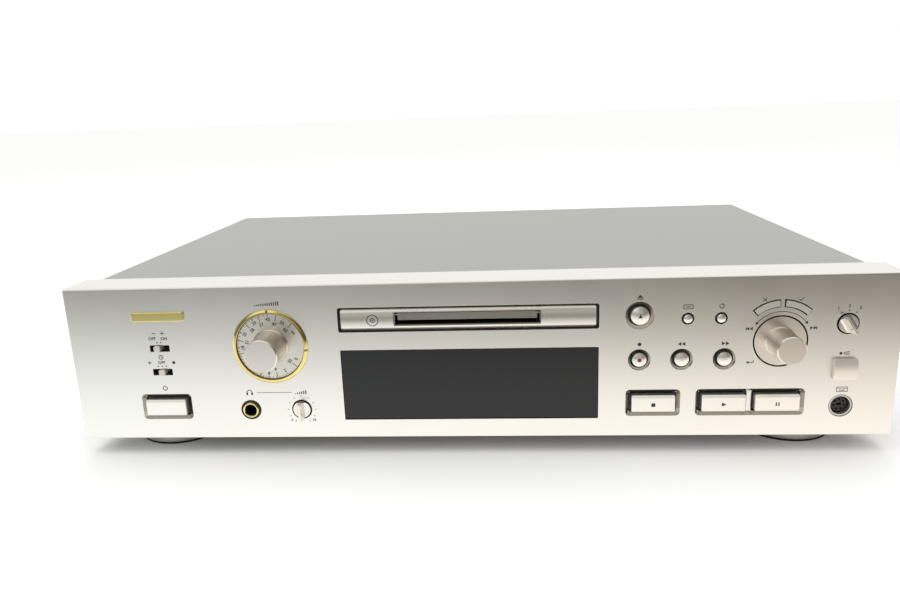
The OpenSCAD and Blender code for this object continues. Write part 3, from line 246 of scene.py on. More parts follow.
def painted_slot_plate():
    """ABS plate sprayed in champagne lacquer: its slot's bevel painted greyer as painted shade, and black
    behind its front as painted shade in the gap round it.
    """
    made, tree, shader = satin("abs_moulded_lacquered_plate", "#ebe7de", 0.28, 0.9, 0.3, 0.005,
                               edge=0.2)
    place = add(tree, "SeparateXYZ", {"Vector": add(tree, "TexCoord").outputs["Object"]})
    sloped = add(tree, "MapRange", {"Value": squarely_ahead(tree), "From Min": 0.85, "From Max": 0.78})
    plain = outside_bevel(tree, place)
    inside = add(tree, "Math", {0: 1.0, 1: plain}, operation="SUBTRACT")
    bevel = add(tree, "Math", {0: sloped.outputs[0], 1: inside.outputs[0]}, operation="MULTIPLY")
    # painted shade: the slot's bevel is painted a greyer colour
    lay_over(tree, shader, bevel.outputs[0], "#7a766f")
    # painted shade: black behind the front, in the gap round the plate
    change_behind(tree, shader, *PLATE_PAINTED_SHADE, "#1f1d1c")
    # its front is one even bow, with the upper and lower edges rounded over
    up = add(tree, "Math", {0: place.outputs["Z"], 1: FASCIA_LOW.z + SLOT.y * MM},
             operation="SUBTRACT")
    slope = add(tree, "Math", {0: up.outputs[0], 1: 1 / (PLATE_BOW * MM), 2: PLATE_LEAN},
                operation="MULTIPLY_ADD")
    for side in (-1, 1):
        edge = add(tree, "MapRange", {"Value": up.outputs[0], "To Max": side * PLATE_TURN,
                                      "From Min": side * (PLATE_HALF - PLATE_ROUND) * MM,
                                      "From Max": side * PLATE_HALF * MM})
        slope = add(tree, "Math", {0: slope.outputs[0], 1: edge.outputs[0]}, operation="ADD")
    leaning = add(tree, "CombineXYZ", {"X": 0.0, "Y": -1.0, "Z": slope.outputs[0]})
    even = add(tree, "VectorMath", {0: leaning.outputs[0]}, operation="NORMALIZE")
    near = add(tree, "Math", {0: place.outputs["Y"], 1: FACE + PLATE_FRONT * MM},
               operation="LESS_THAN")
    front = add(tree, "Math", {0: near.outputs[0], 1: plain}, operation="MULTIPLY")
    bump = shader.inputs["Normal"].links[0].from_node
    broken = bump.inputs["Normal"].links[0].from_socket
    both = add(tree, "MixRGB", {"Fac": front.outputs[0], "Color1": broken, "Color2": even.outputs[0]})
    tree.links.new(both.outputs[0], bump.inputs["Normal"])
    return made


FASCIA_SKIN = anodised_fascia()
KEY_SKIN = painted_keys()
PLATE_SKIN = painted_slot_plate()
# ABS knob, moulded and metallised in vacuum: close to a mirror, softly broken.
POINTER_SKIN = satin("abs_metallised", "#e6e2da", 0.16, 1.0, 0.3, 0.002, edge=0.2)[0]
# ABS, moulded and sprayed with metallic lacquer: the flap darker, the cap and the levers paler.
FLAP_SKIN = satin("abs_moulded_flap", "#9c988f", 0.36, 0.8, 0.3, 0.004)[0]
CAP_SKIN = satin("abs_moulded_cap", "#efe8de", 0.4, 0.75, 0.35, 0.006, edge=0.3)[0]
LEVER_SKIN = satin("abs_moulded_lever", "#dcd8cc", 0.38, 0.5, 0.3, 0.004)[0]
# Aluminium knobs and dial, faced on a lathe.
LEVEL_SKIN = turned("aluminium_turned_level", "#f0eae1", LEVEL, 0.28)
DIAL_SKIN = turned("aluminium_turned_dial", "#e9e5db", LEVEL, 0.35, 0.38)
JOG_SKIN = turned("aluminium_turned_jog", "#efe7dc", JOG, 0.28)

# Steel sheet, folded and finished in silver-grey satin enamel: a faint orange peel.
COVER_SKIN = satin("steel_sheet_enamelled", "#a5a6a1", 0.42, 0.45, 0.6, 0.012, edge=0.5)[0]
# Steel sheet, zinc plated and passivated: grey, softly mottled.
ZINC_SKIN = satin("steel_sheet_zinc_plated", "#a9abab", 0.4, 1.0, 2.5, 0.003, edge=0.3)[0]
# Steel ground to size: bright and fairly smooth.
STEEL_SKIN = satin("steel_ground", "#c4c5c6", 0.22, 1.0, 0.2, 0.002)[0]
# Brass, polished and gold plated.
GOLD_SKIN = satin("brass_polished_gold_plated", "#e8d88c", 0.07, 1.0, 0.5, 0.001, edge=0.15)[0]
# Aluminium foot, turned and lacquered pale silver.
FOOT_SKIN = satin("aluminium_turned_foot", "#d3d2cc", 0.4, 0.6, 0.4, 0.006, edge=0.4)[0]
# Natural rubber pad, moulded: dull and dark.
RUBBER_SKIN = satin("rubber_moulded", "#232322", 0.85, 0.0, 0.5, 0.03)[0]
# Smoked acrylic pane, polished: almost black, with a clear surface reflection.
SMOKED_SKIN = satin("acrylic_smoked_polished", "#0c0e0f", 0.12, 0.0, 0.8, 0.0004, IOR=1.47)[0]
# Glass tube, dark behind its clear front.
GLASS_SKIN = satin("glass_tube_dark", "#232a29", 0.1, 0.0, 0.8, 0.001, IOR=1.5)[0]
# ABS as moulded in black and in grey: fine spark-eroded texture.
BLACK_SKIN = satin("abs_moulded_black", "#1d1c1b", 0.5, 0.0, 0.3, 0.01)[0]
GREY_SKIN = satin("abs_moulded_grey", "#5a5c5e", 0.5, 0.0, 0.3, 0.01)[0]
# Acetal, moulded white: waxy.
ACETAL_SKIN = satin("acetal_moulded", "#dcdbd3", 0.42, 0.0, 0.4, 0.004)[0]
# Glass-fibre board under green solder resist.
BOARD_SKIN = satin("glass_epoxy_solder_resist", "#2b6a48", 0.35, 0.0, 1.2, 0.01)[0]
# Silicon steel laminations, stacked and varnished.
IRON_SKIN = satin("steel_laminations_varnished", "#5b4a34", 0.4, 0.3, 0.5, 0.02)[0]
# Screen-printing ink: flat dark grey, and dark red for the record mark.
INK = satin("ink_screen_printed", "#2b2a27", 0.6, 0.0, 0.2, 0.002)[0]
RED_INK = satin("ink_screen_printed_red", "#8a2a36", 0.5, 0.0, 0.2, 0.002)[0]
# Polypropylene inserts, moulded in colour.
WHITE_PLASTIC = satin("polypropylene_moulded_white", "#e4e2dc", 0.45, 0.0, 0.3, 0.004)[0]
RED_PLASTIC = satin("polypropylene_moulded_red", "#a8262a", 0.45, 0.0, 0.3, 0.004)[0]
# Steel screws, nickel plated.
SCREW_SKIN = satin("steel_nickel_plated", "#a2a09b", 0.25, 1.0, 0.3, 0.003)[0]


SHELL_START = (4.85 * MM, 4.92 * MM)        # from the keyboard socket's middle
SOCKET_SHADE_DEPTHS = (FACE + 2.2 * MM, FACE + 2.3 * MM)
BARREL_START = (REAR + 0.02 * MM, REAR + 0.1 * MM)


def socket_shell():
    """Keyboard socket: black contact block in a nickel-plated shell that starts at its rim, painted
    darker still deeper in: painted shade.
    """
    made, tree, shader = satin("abs_black_in_nickel_shell", "#161616", 0.35, 0.0, 0.3, 0.004)
    place = add(tree, "TexCoord").outputs["Object"]
    moved = add(tree, "Mapping", {"Vector": place, "Location": -in_frame(KEYBOARD.x, KEYBOARD.y)})
    flat = add(tree, "VectorMath", {0: moved.outputs[0], 1: (1, 0, 1)}, operation="MULTIPLY")
    radius = add(tree, "VectorMath", {0: flat.outputs[0]}, operation="LENGTH")
    # painted shade: the block is darker deeper in the socket
    change_behind(tree, shader, *SOCKET_SHADE_DEPTHS, "#0c0c0c")
    shell = add(tree, "MapRange", {"Value": radius.outputs["Value"], "From Min": SHELL_START[0],
                                   "From Max": SHELL_START[1]})
    lay_over(tree, shader, shell.outputs[0], "#c9c6bf")
    tree.links.new(shell.outputs[0], shader.inputs["Metallic"])
    return made


def phono_block():
    """Phono sockets: nickel-plated barrels that stand out of a black moulded block."""
    made, tree, shader = satin("nickel_barrels_in_black_abs", "#222120", 0.35, 0.0, 0.3, 0.004)
    change_behind(tree, shader, *BARREL_START, "#cdccc8", metal=1.0)
    return made


FINISHES = {
    FASCIA_SKIN: ["front_panel"],
    KEY_SKIN: ["power_button", "eject_button", "display_button", "play_mode_button", "record_button",
               "rewind_button", "forward_button", "stop_button", "play_button", "pause_button",
               "edit_button", "yes_button"],
    POINTER_SKIN: ["phones_knob", "selector_knob"],
    PLATE_SKIN: ["slot_bezel"],
    FLAP_SKIN: ["slot_flap"],
    CAP_SKIN: ["optical_cap"],
    LEVER_SKIN: ["pitch_lever", "timer_lever"],
    LEVEL_SKIN: ["level_knob"],
    DIAL_SKIN: ["level_dial"],
    JOG_SKIN: ["jog_knob"],
    COVER_SKIN: ["top_cover"],
    ZINC_SKIN: ["chassis_tray", "rear_panel", "mech_frame", "disc_holder"],
    STEEL_SKIN: ["level_shaft", "jog_shaft", "spindle_motor", "turntable", "guide_rods", "lead_screw",
                 "drive_motors"],
    GOLD_SKIN: ["level_ring", "phones_ring"],
    FOOT_SKIN: ["feet"],
    RUBBER_SKIN: ["foot_pads"],
    SMOKED_SKIN: ["display_window"],
    GLASS_SKIN: ["display_tube"],
    BLACK_SKIN: ["phones_jack", "optical_input", "optical_jacks", "ac_inlet"],
    GREY_SKIN: ["level_pot", "phones_pot", "jog_encoder", "selector_switch", "board_switches",
                "pickup_sled"],
    ACETAL_SKIN: ["cam_slider", "loading_gear"],
    BOARD_SKIN: ["control_board", "main_board", "power_board"],
    IRON_SKIN: ["power_transformer"],
    SCREW_SKIN: ["case_screws"],
    socket_shell(): ["keyboard_socket"],
    phono_block(): ["line_jacks"],
}
for skin, names in FINISHES.items():
    for name in names:
        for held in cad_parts[name].material_slots:
            held.material = skin

# ---------- print and symbols ----------


BOLDER = 0.025          # how much figures are swelled, in their own size


def outline_of(text, size):
    """A line of figures as a flat mesh, centred on the origin and facing the front."""
    curve = bpy.data.curves.new("figures", "FONT")
    curve.body = text
    curve.size = size
    curve.offset = BOLDER * size
    curve.align_x = "CENTER"
    curve.align_y = "CENTER"
    holder = bpy.data.objects.new("figures", curve)
    bpy.context.scene.collection.objects.link(holder)
    ready = holder.evaluated_get(bpy.context.evaluated_depsgraph_get())
    drawn = bpy.data.meshes.new_from_object(ready)
    bpy.data.objects.remove(holder)
    drawn.transform(Matrix.Rotation(math.radians(90), 4, "X"))
    return drawn


def round_way(angle):
    """Direction at a clock angle, in degrees clockwise from the top."""
    return Vector((math.sin(math.radians(angle)), math.cos(math.radians(angle))))


class Ink:
    """Marks drawn in millimetres as seen from the front, laid on the surface behind them."""

    def __init__(self):
        self.mesh = bmesh.new()

    def shape(self, *points):
        self.mesh.faces.new([self.mesh.verts.new((p[0], 0, p[1])) for p in points])

    def bar(self, a, b, width=0.36):
        a, b = Vector(a), Vector(b)
        side = Vector((a.y - b.y, b.x - a.x)).normalized() * width / 2
        self.shape(a - side, b - side, b + side, a + side)

    def line(self, *points, width=0.36):
        for a, b in zip(points, points[1:]):
            self.bar(a, b, width)

    def disc(self, at, r, sides=24):
        self.shape(*[Vector(at) + r * round_way(-360 * k / sides) for k in range(sides)])

    def arc(self, at, r, start, end, width=0.36, sides=40):
        at = Vector(at)
        turns = [round_way(end + (start - end) * k / sides) for k in range(sides + 1)]
        for a, b in zip(turns, turns[1:]):
            self.shape(at + (r - width / 2) * a, at + (r + width / 2) * a,
                       at + (r + width / 2) * b, at + (r - width / 2) * b)

    def arrow(self, at, size, turn=90):
        """A filled triangle that points along a clock angle."""
        self.shape(*[Vector(at) + size / 2 * round_way(turn - k * 120) for k in range(3)])

    def frame(self, at, w, h, width=0.36):
        x, z = at[0], at[1]
        corners = [(x - w / 2, z - h / 2), (x + w / 2, z - h / 2), (x + w / 2, z + h / 2),
                   (x - w / 2, z + h / 2), (x - w / 2, z - h / 2)]
        self.line(*corners, width=width)

    def write(self, text, at, size, turn=0.0):
        drawn = outline_of(text, size)
        drawn.transform(Matrix.Translation((at[0], 0, at[1]))
                        @ Matrix.Rotation(math.radians(turn), 4, "Y"))
        self.mesh.from_mesh(drawn)
        bpy.data.meshes.remove(drawn)

    def lay(self, name, nodes, skin, body=BODY, lift=INK_LIFT, behind=False, cuts=0):
        """Lays the marks on some CAD nodes and makes the piece, which rides on a body."""
        if cuts:
            bmesh.ops.triangulate(self.mesh, faces=self.mesh.faces)
            bmesh.ops.subdivide_edges(self.mesh, edges=self.mesh.edges, cuts=cuts,
                                      use_grid_fill=True)
        ready = bpy.context.evaluated_depsgraph_get()
        walls = [BVHTree.FromObject(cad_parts[n], ready) for n in nodes]
        start, way = (REAR + AWAY * MM, -1) if behind else (FACE - AWAY * MM, 1)
        for corner in self.mesh.verts:
            spot = in_frame(corner.co.x, corner.co.z)
            hits = [w.ray_cast(Vector((spot.x, start, spot.z)), Vector((0, way, 0))) for w in walls]
            depths = [h[3] for h in hits if h[0] is not None]
            depth = min(depths) if depths else abs(start - (REAR if behind else FACE))
            corner.co = Vector((spot.x, start + way * (depth - lift * MM), spot.z))
        if behind:
            bmesh.ops.reverse_faces(self.mesh, faces=self.mesh.faces)
        made = bpy.data.meshes.new(name)
        self.mesh.to_mesh(made)
        self.mesh.free()
        made.materials.append(skin)
        piece = bpy.data.objects.new(name, made)
        bpy.context.scene.collection.objects.link(piece)
        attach(piece, body)
        return piece


# Sizes that the marks share, in millimetres
DOT = 0.38
SMALL_FIGURES = 2.3
DIAL_FIGURES = 2.5
SWITCH_STEP = 2.2               # a slide switch's travel from one place to the next
SELECTOR_STEP = 3.6
POINTER_TICKS = 7.1             # radius at which the headphone level's ticks start
JOG_ARC, JOG_KEYS = 15.6, 23.6  # radii of the arc round the jog dial, and of its curved keys
OUTER_ROW, INNER_ROW = 15.1, 12.8
DIAL_EDGE = 17.8                # where the level scale's ticks end


def switch_marks(ink):
    """Places of the two slide switches: dots, ON and OFF, and the timer's play and record ends."""
    for k in (-0.5, 0.5):
        ink.disc((PITCH.x + k * SWITCH_STEP, PITCH.y + 3.3), DOT, 12)
    for k in (-1, 0, 1):
        ink.disc((TIMER.x + k * SWITCH_STEP, TIMER.y + 3.4), DOT, 12)
    ink.write("OFF", (PITCH.x - 3.6, PITCH.y + 5.5), SMALL_FIGURES)
    ink.write("ON", (PITCH.x + 3, PITCH.y + 5.5), SMALL_FIGURES)
    ink.write("OFF", (TIMER.x, TIMER.y + 5.4), SMALL_FIGURES)
    ink.arrow((TIMER.x - 6.8, TIMER.y + 5.4), 2)
    ink.disc((TIMER.x + 6.8, TIMER.y + 5.4), 0.85)
    # minus and plus over the pitch switch, a clock over the timer switch
    high = PITCH.y + 8.5
    ink.bar((PITCH.x - 3.4, high), (PITCH.x - 1.4, high), 0.4)
    ink.bar((PITCH.x + 1.4, high), (PITCH.x + 3.4, high), 0.4)
    ink.bar((PITCH.x + 2.4, high - 1), (PITCH.x + 2.4, high + 1), 0.4)
    clock = Vector((TIMER.x, TIMER.y + 8.5))
    ink.arc(clock, 1.15, 0, 360)
    ink.line(clock + Vector((0, 0.9)), clock, clock + Vector((0.7, -0.2)), width=0.3)


def power_mark(ink):
    """A broken ring with a stroke, over the power key."""
    at = Vector((POWER.x, POWER.y + 10.9))
    ink.arc(at, 1.2, 35, 325, 0.42)
    ink.bar(at + Vector((0, 0.2)), at + Vector((0, 1.6)), 0.42)


def level_bars(ink, at, count):
    """A row of rising bars that stands for a level."""
    for k in range(count):
        foot = Vector((at[0] + (k - (count - 1) / 2) * 1.15, at[1] - 1.1))
        ink.bar(foot, foot + Vector((0, 0.5 + 1.8 * k / (count - 1))), 0.6)


def phones_marks(ink):
    """A headphone symbol, a rule to the level knob, and that knob's scale."""
    at = Vector((PHONES.x, PHONES.y + 9.9))
    ink.arc(at, 1.45, -90, 90, 0.4)
    for side in (-1, 1):
        ink.bar(at + Vector((side * 1.35, 0.1)), at + Vector((side * 1.35, -1.4)), 0.9)
    ink.bar((PHONES.x + 4, at.y), (PHONES_LEVEL.x - 5, at.y), 0.25)
    level_bars(ink, (PHONES_LEVEL.x, at.y), 6)
    for k in range(11):
        way = round_way(-150 + 30 * k)
        end = 8.4 if k in (0, 5, 10) else 8
        ink.bar(PHONES_LEVEL + POINTER_TICKS * way, PHONES_LEVEL + end * way, 0.3)
    ink.write("0", (PHONES_LEVEL.x - 6, PHONES_LEVEL.y - 6.3), 2.1)
    ink.write("10", (PHONES_LEVEL.x + 6.2, PHONES_LEVEL.y - 6.3), 2.1)


def key_marks(ink):
    """Symbols over the keys that carry none."""
    top = middle("eject_button") + Vector((0, 9.6))
    ink.shape(top + Vector((-1.5, -0.3)), top + Vector((1.5, -0.3)), top + Vector((0, 1.3)))
    ink.bar(top + Vector((-1.5, -0.95)), top + Vector((1.5, -0.95)), 0.5)
    shown = middle("display_button") + Vector((0, 6.2))
    ink.frame(shown, 4.6, 2.1)
    ink.bar(shown + Vector((-1.3, 0)), shown + Vector((1.3, 0)), 0.4)
    mode = middle("play_mode_button") + Vector((0, 6.3))
    ink.arc(mode, 1.1, 25, 320, 0.4)
    ink.arrow(mode + 1.1 * round_way(12), 1.4, 100)
    ink.disc(middle("record_button") + Vector((0, 8.4)), 0.95)
    for name, way in (("rewind_button", -1), ("forward_button", 1)):
        at = middle(name) + Vector((0, 8.3))
        for k in (-1, 1):
            ink.arrow(at + Vector((k, 0)), 2.4, 90 * way)


def jog_marks(ink):
    """Arc with an arrowhead at each end, skip symbols, and marks for the curved and centre keys."""
    ink.arc(JOG, JOG_ARC, -52, 52, 0.34)
    for side in (-1, 1):
        ink.arrow(JOG + JOG_ARC * round_way(side * 52), 2, side * 146)
        skip = JOG + Vector((side * 15.6, 6.8))
        for k in (-1, 0.7):
            ink.arrow(skip + Vector((side * k, 0)), 2.1, 90 * side)
        ink.bar(skip + Vector((side * 1.7, -0.9)), skip + Vector((side * 1.7, 0.9)), 0.4)
    cross = JOG + JOG_KEYS * round_way(-22)
    for k in (-1, 1):
        ink.bar(cross + Vector((-0.9, -0.9 * k)), cross + Vector((0.9, 0.9 * k)))
    tick = JOG + JOG_KEYS * round_way(22)
    ink.line(tick + Vector((-1.1, 0.1)), tick + Vector((-0.3, -0.8)), tick + Vector((1.2, 1)))
    enter = JOG + Vector((-14.5, -10.9))
    ink.line(enter + Vector((1.7, 1)), enter + Vector((1.7, -0.3)), enter + Vector((-1, -0.3)))
    ink.arrow(enter + Vector((-1.1, -0.3)), 1.8, -90)


def right_marks(ink):
    """Selector places 1 to 3, a light beam over the optical socket, and a keyboard."""
    for k in (-1, 0, 1):
        dot = Vector((SELECTOR.x + SELECTOR_STEP * k, SELECTOR.y + (6.8 if k == 0 else 5.8)))
        ink.disc(dot, DOT, 12)
        ink.write(str(k + 2), dot + Vector((1.7 * k, 2.3)), SMALL_FIGURES)
    beam = CAP + Vector((0, 8.2))
    ink.disc(beam - Vector((2.2, 0)), 0.75)
    for k in (-1, 0, 1):
        ink.bar(beam + Vector((-0.8, 0.4 * k)), beam + Vector((2.2, 0.95 * k)), 0.3)
    keys = KEYBOARD + Vector((0, 8.9))
    ink.frame(keys, 5.4, 2.5, 0.3)
    for k in range(-3, 4):
        ink.disc(keys + Vector((0.68 * k, 0.45)), 0.24, 8)
    ink.bar(keys + Vector((-1.5, -0.5)), keys + Vector((1.5, -0.5)), 0.36)


def fascia_print():
    """All marks printed on the fascia, as one piece."""
    ink = Ink()
    switch_marks(ink)
    power_mark(ink)
    level_bars(ink, (LEVEL.x, LEVEL.y + 23.7), 12)
    phones_marks(ink)
    key_marks(ink)
    jog_marks(ink)
    right_marks(ink)
    ink.lay("fascia_print", ["front_panel"], INK)


def plate_print():
    """A plain disc symbol at the slot plate's left end."""
    ink = Ink()
    at = (SLOT.x - 49.7, SLOT.y - 0.4)
    ink.arc(at, 3, 0, 360, 0.4)
    ink.arc(at, 1.1, 0, 360, 0.4)
    ink.disc(at, 0.35, 12)
    ink.lay("slot_plate_print", ["slot_bezel"], INK, lift=0.05)


def key_symbols():
    """Symbols printed on the key fronts, each on its own key's body."""
    mark = Ink()
    at = middle("eject_button")
    mark.shape(at + Vector((-1.15, -0.9)), at + Vector((1.15, -0.9)), at + Vector((0, 1.1)))
    mark.lay("eject_symbol", ["eject_button"], INK, "eject_button", cuts=3)
    mark = Ink()
    mark.disc(middle("record_button"), 1.05)
    mark.lay("record_symbol", ["record_button"], RED_INK, "record_button", cuts=2)
    mark = Ink()
    at = middle("stop_button") - Vector((0, 0.5))
    mark.bar(at - Vector((1, 0)), at + Vector((1, 0)), 2)
    mark.lay("stop_symbol", ["stop_button"], INK, "stop_button")
    mark = Ink()
    at = middle("play_button") - Vector((0, 0.5))
    mark.shape(at + Vector((-1.05, -1.1)), at + Vector((1.25, 0)), at + Vector((-1.05, 1.1)))
    mark.lay("play_symbol", ["play_button"], INK, "play_button")
    mark = Ink()
    at = middle("pause_button") - Vector((0, 0.5))
    for k in (-0.65, 0.65):
        mark.bar(at + Vector((k, -1)), at + Vector((k, 1)), 0.6)
    mark.lay("pause_symbol", ["pause_button"], INK, "pause_button")


# Figures of the level scale by clock angle; long ticks carry the inner row of figures.
OUTER_FIGURES = {0: "42", 30: "55", 60: "∞", 118: "0", 153: "2", 188: "8", 268: "18", 298: "25",
                 330: "33"}
INNER_FIGURES = {15: "47", 45: "63", 130: "05", 172: "4", 203: "9", 257: "15", 282: "21", 315.5: "28",
                 343: "37"}


def dial_scale():
    """The level scale, which turns with its knob."""
    ink = Ink()
    for turn, figure in OUTER_FIGURES.items():
        ink.write(figure, LEVEL + OUTER_ROW * round_way(turn), DIAL_FIGURES, turn)
        if turn not in (60, 118):
            ink.bar(LEVEL + 16.7 * round_way(turn), LEVEL + DIAL_EDGE * round_way(turn), 0.3)
    for turn, figure in INNER_FIGURES.items():
        ink.write(figure, LEVEL + INNER_ROW * round_way(turn), DIAL_FIGURES, turn)
        ink.bar(LEVEL + 14.6 * round_way(turn), LEVEL + DIAL_EDGE * round_way(turn), 0.34)
    for start, turns in ((17, range(138, 256, 6)), (17.1, range(262, 360, 7))):
        for turn in turns:
            ink.bar(LEVEL + start * round_way(turn), LEVEL + DIAL_EDGE * round_way(turn), 0.26)
    ink.lay("level_scale", ["level_dial"], INK, "level_knob")


BARREL_IN = 6                   # mm from an end of the phono block to a barrel's middle
BARREL_ROWS = (22, 36)          # mm up from the fascia's lower edge


def insulators():
    """Coloured plastic inserts of the phono sockets: white on the left channel, red on the right."""
    low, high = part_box("line_jacks")
    columns = (low.x / MM + BARREL_IN, high.x / MM - BARREL_IN)
    for skin, name, up in ((WHITE_PLASTIC, "left", BARREL_ROWS[1]),
                           (RED_PLASTIC, "right", BARREL_ROWS[0])):
        ring = Ink()
        for across in columns:
            ring.arc((across, up), 2.25, 0, 360, 1.2)
        ring.lay("line_insert_" + name, ["line_jacks"], skin, lift=0.05, behind=True)


# ---------- raised pieces ----------


def made_piece(name, shape, skin, body=BODY):
    """Turns finished mesh code into a piece that rides on a body."""
    bmesh.ops.recalc_face_normals(shape, faces=shape.faces)
    made = bpy.data.meshes.new(name)
    shape.to_mesh(made)
    shape.free()
    made.materials.append(skin)
    piece = bpy.data.objects.new(name, made)
    bpy.context.scene.collection.objects.link(piece)
    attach(piece, body)
    return piece


RING_SLITS = ((0, 1.4), (95, 0.8))      # degrees: each slit's place and half its width
SLIT_DEPTH = 1.1                        # mm


def apart(turn, at):
    """Degrees between two clock angles."""
    return abs((turn - at + 180) % 360 - 180)


def trim_ring():
    """The level dial's turned ring: its polished band slopes outwards, slit at the top and right."""
    low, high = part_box("level_ring")
    outer = (high.x - low.x) / 2 / MM
    proud = (FACE - low.y) / MM
    back = (FACE - high.y) / MM
    section = [(outer - 2, back), (outer - 2, proud - 0.2), (outer - 1.93, proud - 0.05),
               (outer - 1.8, proud), (outer - 0.12, proud - 0.95), (outer - 0.03, proud - 1.05),
               (outer, proud - 1.2), (outer, back)]
    turns = [2 * k for k in range(180)]
    for at, half in RING_SLITS:
        turns = [t for t in turns if apart(t, at) > half + 0.3]
        turns += [(at + k) % 360 for k in (-half - 0.05, -half, half, half + 0.05)]
    turns.sort()
    shape = bmesh.new()
    rows = []
    for turn in turns:
        cut = any(apart(turn, at) < half + 0.02 for at, half in RING_SLITS)
        top = proud - SLIT_DEPTH if cut else proud
        spots = [(LEVEL + r * round_way(turn), min(h, top)) for r, h in section]
        rows.append([shape.verts.new(in_frame(p.x, p.y, h)) for p, h in spots])
    for a, b in zip(rows, rows[1:] + rows[:1]):
        for k in range(len(section)):
            n = (k + 1) % len(section)
            shape.faces.new((a[k], b[k], b[n], a[n]))
    for face in shape.faces:
        face.smooth = True
    piece = made_piece("level_trim_ring", shape, GOLD_SKIN)
    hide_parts("level_ring")


# The blank gold bar: its left, right, lower and upper edges, in millimetres
BAR_LEFT, BAR_RIGHT, BAR_LOW, BAR_HIGH = -181.0, -152.0, 67.6, 72.6
BAR_PROUD, BAR_CORNER = 1.1, 1.0
CORNER_STEPS = 6


def name_bar():
    """Blank gold-plated bar where a deck carries its name, raised and rounded."""
    shape = bmesh.new()
    layers = []
    for proud, inset in ((0.0, 0.0), (BAR_PROUD - 0.35, 0.0), (BAR_PROUD - 0.1, 0.12),
                         (BAR_PROUD, 0.4)):
        layer = []
        for x, z, first in ((BAR_RIGHT - BAR_CORNER, BAR_HIGH - BAR_CORNER, 0),
                            (BAR_RIGHT - BAR_CORNER, BAR_LOW + BAR_CORNER, 90),
                            (BAR_LEFT + BAR_CORNER, BAR_LOW + BAR_CORNER, 180),
                            (BAR_LEFT + BAR_CORNER, BAR_HIGH - BAR_CORNER, 270)):
            for k in range(CORNER_STEPS):
                turn = first + 90 / (CORNER_STEPS - 1) * k
                corner = Vector((x, z)) + (BAR_CORNER - inset) * round_way(turn)
                layer.append(shape.verts.new(in_frame(corner.x, corner.y, proud)))
        layers.append(layer)
    for below, above in zip(layers, layers[1:]):
        for k in range(len(below)):
            n = (k + 1) % len(below)
            shape.faces.new((below[k], below[n], above[n], above[k]))
    shape.faces.new(layers[-1])
    made_piece("name_bar", shape, GOLD_SKIN)


RECESS_DEPTH = 0.95             # mm
RECESS_HALF = 0.35              # mm, half the width of an arm
RECESS_REACH = 0.27             # how far an arm reaches, in the head's width


def islands(shape):
    """The separate solids of a mesh, each a list of its corners, in the mesh's own order."""
    taken = set()
    for first in shape.verts:
        if first in taken:
            continue
        taken.add(first)
        island = [first]
        for corner in island:
            near = [e.other_vert(corner) for e in corner.link_edges]
            fresh = [v for v in near if v not in taken]
            taken.update(fresh)
            island += fresh
        yield island


def cross_cutter(shape, screw):
    """Adds the two crossed blocks that cut a recess into a screw's head."""
    spans = [(min(v.co[k] for v in screw), max(v.co[k] for v in screw)) for k in range(3)]
    sizes = [high - low for low, high in spans]
    axis = max(range(3), key=lambda k: abs(sizes[k] - sorted(sizes)[1]))
    across = [k for k in range(3) if k != axis]
    at = Vector([(low + high) / 2 for low, high in spans])
    outward = -1 if axis == 2 or at[axis] < 0 else 1
    at[axis] = spans[axis][1 if outward > 0 else 0]
    for arm in across:
        scale = Vector([RECESS_HALF * MM] * 3)
        scale[arm] = min(sizes[k] for k in across) * RECESS_REACH
        scale[axis] = RECESS_DEPTH * MM
        bmesh.ops.create_cube(shape, size=2, matrix=Matrix.Translation(at)
                              @ Matrix.Diagonal(scale).to_4x4())


def recessed_screws():
    """The case screws as they are, with a cross recess sunk in each head."""
    whole = bmesh.new()
    whole.from_mesh(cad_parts["case_screws"].data)
    cutter = bmesh.new()
    for screw in islands(whole):
        cross_cutter(cutter, screw)
    held = []
    for name, shape in (("case_screws_recessed", whole), ("cross_cutter", cutter)):
        mesh = bpy.data.meshes.new(name)
        shape.to_mesh(mesh)
        shape.free()
        held.append(bpy.data.objects.new(name, mesh))
        bpy.context.scene.collection.objects.link(held[-1])
    piece, knife = held
    cut = piece.modifiers.new("recess", "BOOLEAN")
    cut.operation = "DIFFERENCE"
    cut.object = knife
    cut.use_self = True
    ready = piece.evaluated_get(bpy.context.evaluated_depsgraph_get())
    cut_mesh = bpy.data.meshes.new_from_object(ready)
    piece.modifiers.clear()
    piece.data = cut_mesh
    bpy.data.objects.remove(knife)
    piece.data.materials.clear()
    piece.data.materials.append(SCREW_SKIN)
    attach(piece, BODY)
    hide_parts("case_screws")


fascia_print()
plate_print()
key_symbols()
dial_scale()
insulators()
name_bar()
trim_ring()
recessed_screws()

# ---------- studio ----------

CAMERA_AHEAD = 374.85                       # mm in front of the face
CAMERA_X, CAMERA_Z = 21.91, 171.54          # mm, as on the face
CAMERA_TURN = (75.776, 2.179, 4.130)        # degrees: tilt, roll and turn
FOCAL_LENGTH = 29.97                        # mm, on a sensor 36 mm wide
# What reflections find: the dim room ahead, and the floor's level as it falls off ahead of the deck
ROOM_LEFT, ROOM_RIGHT, ROOM_AHEAD = "#83817c", "#5a544c", "#b5b1aa"
CEILING = "#e6e4e0"
WINDOW_WAY = (-0.41, -0.7, 0.51)            # a soft bright patch, ahead, to the left and above
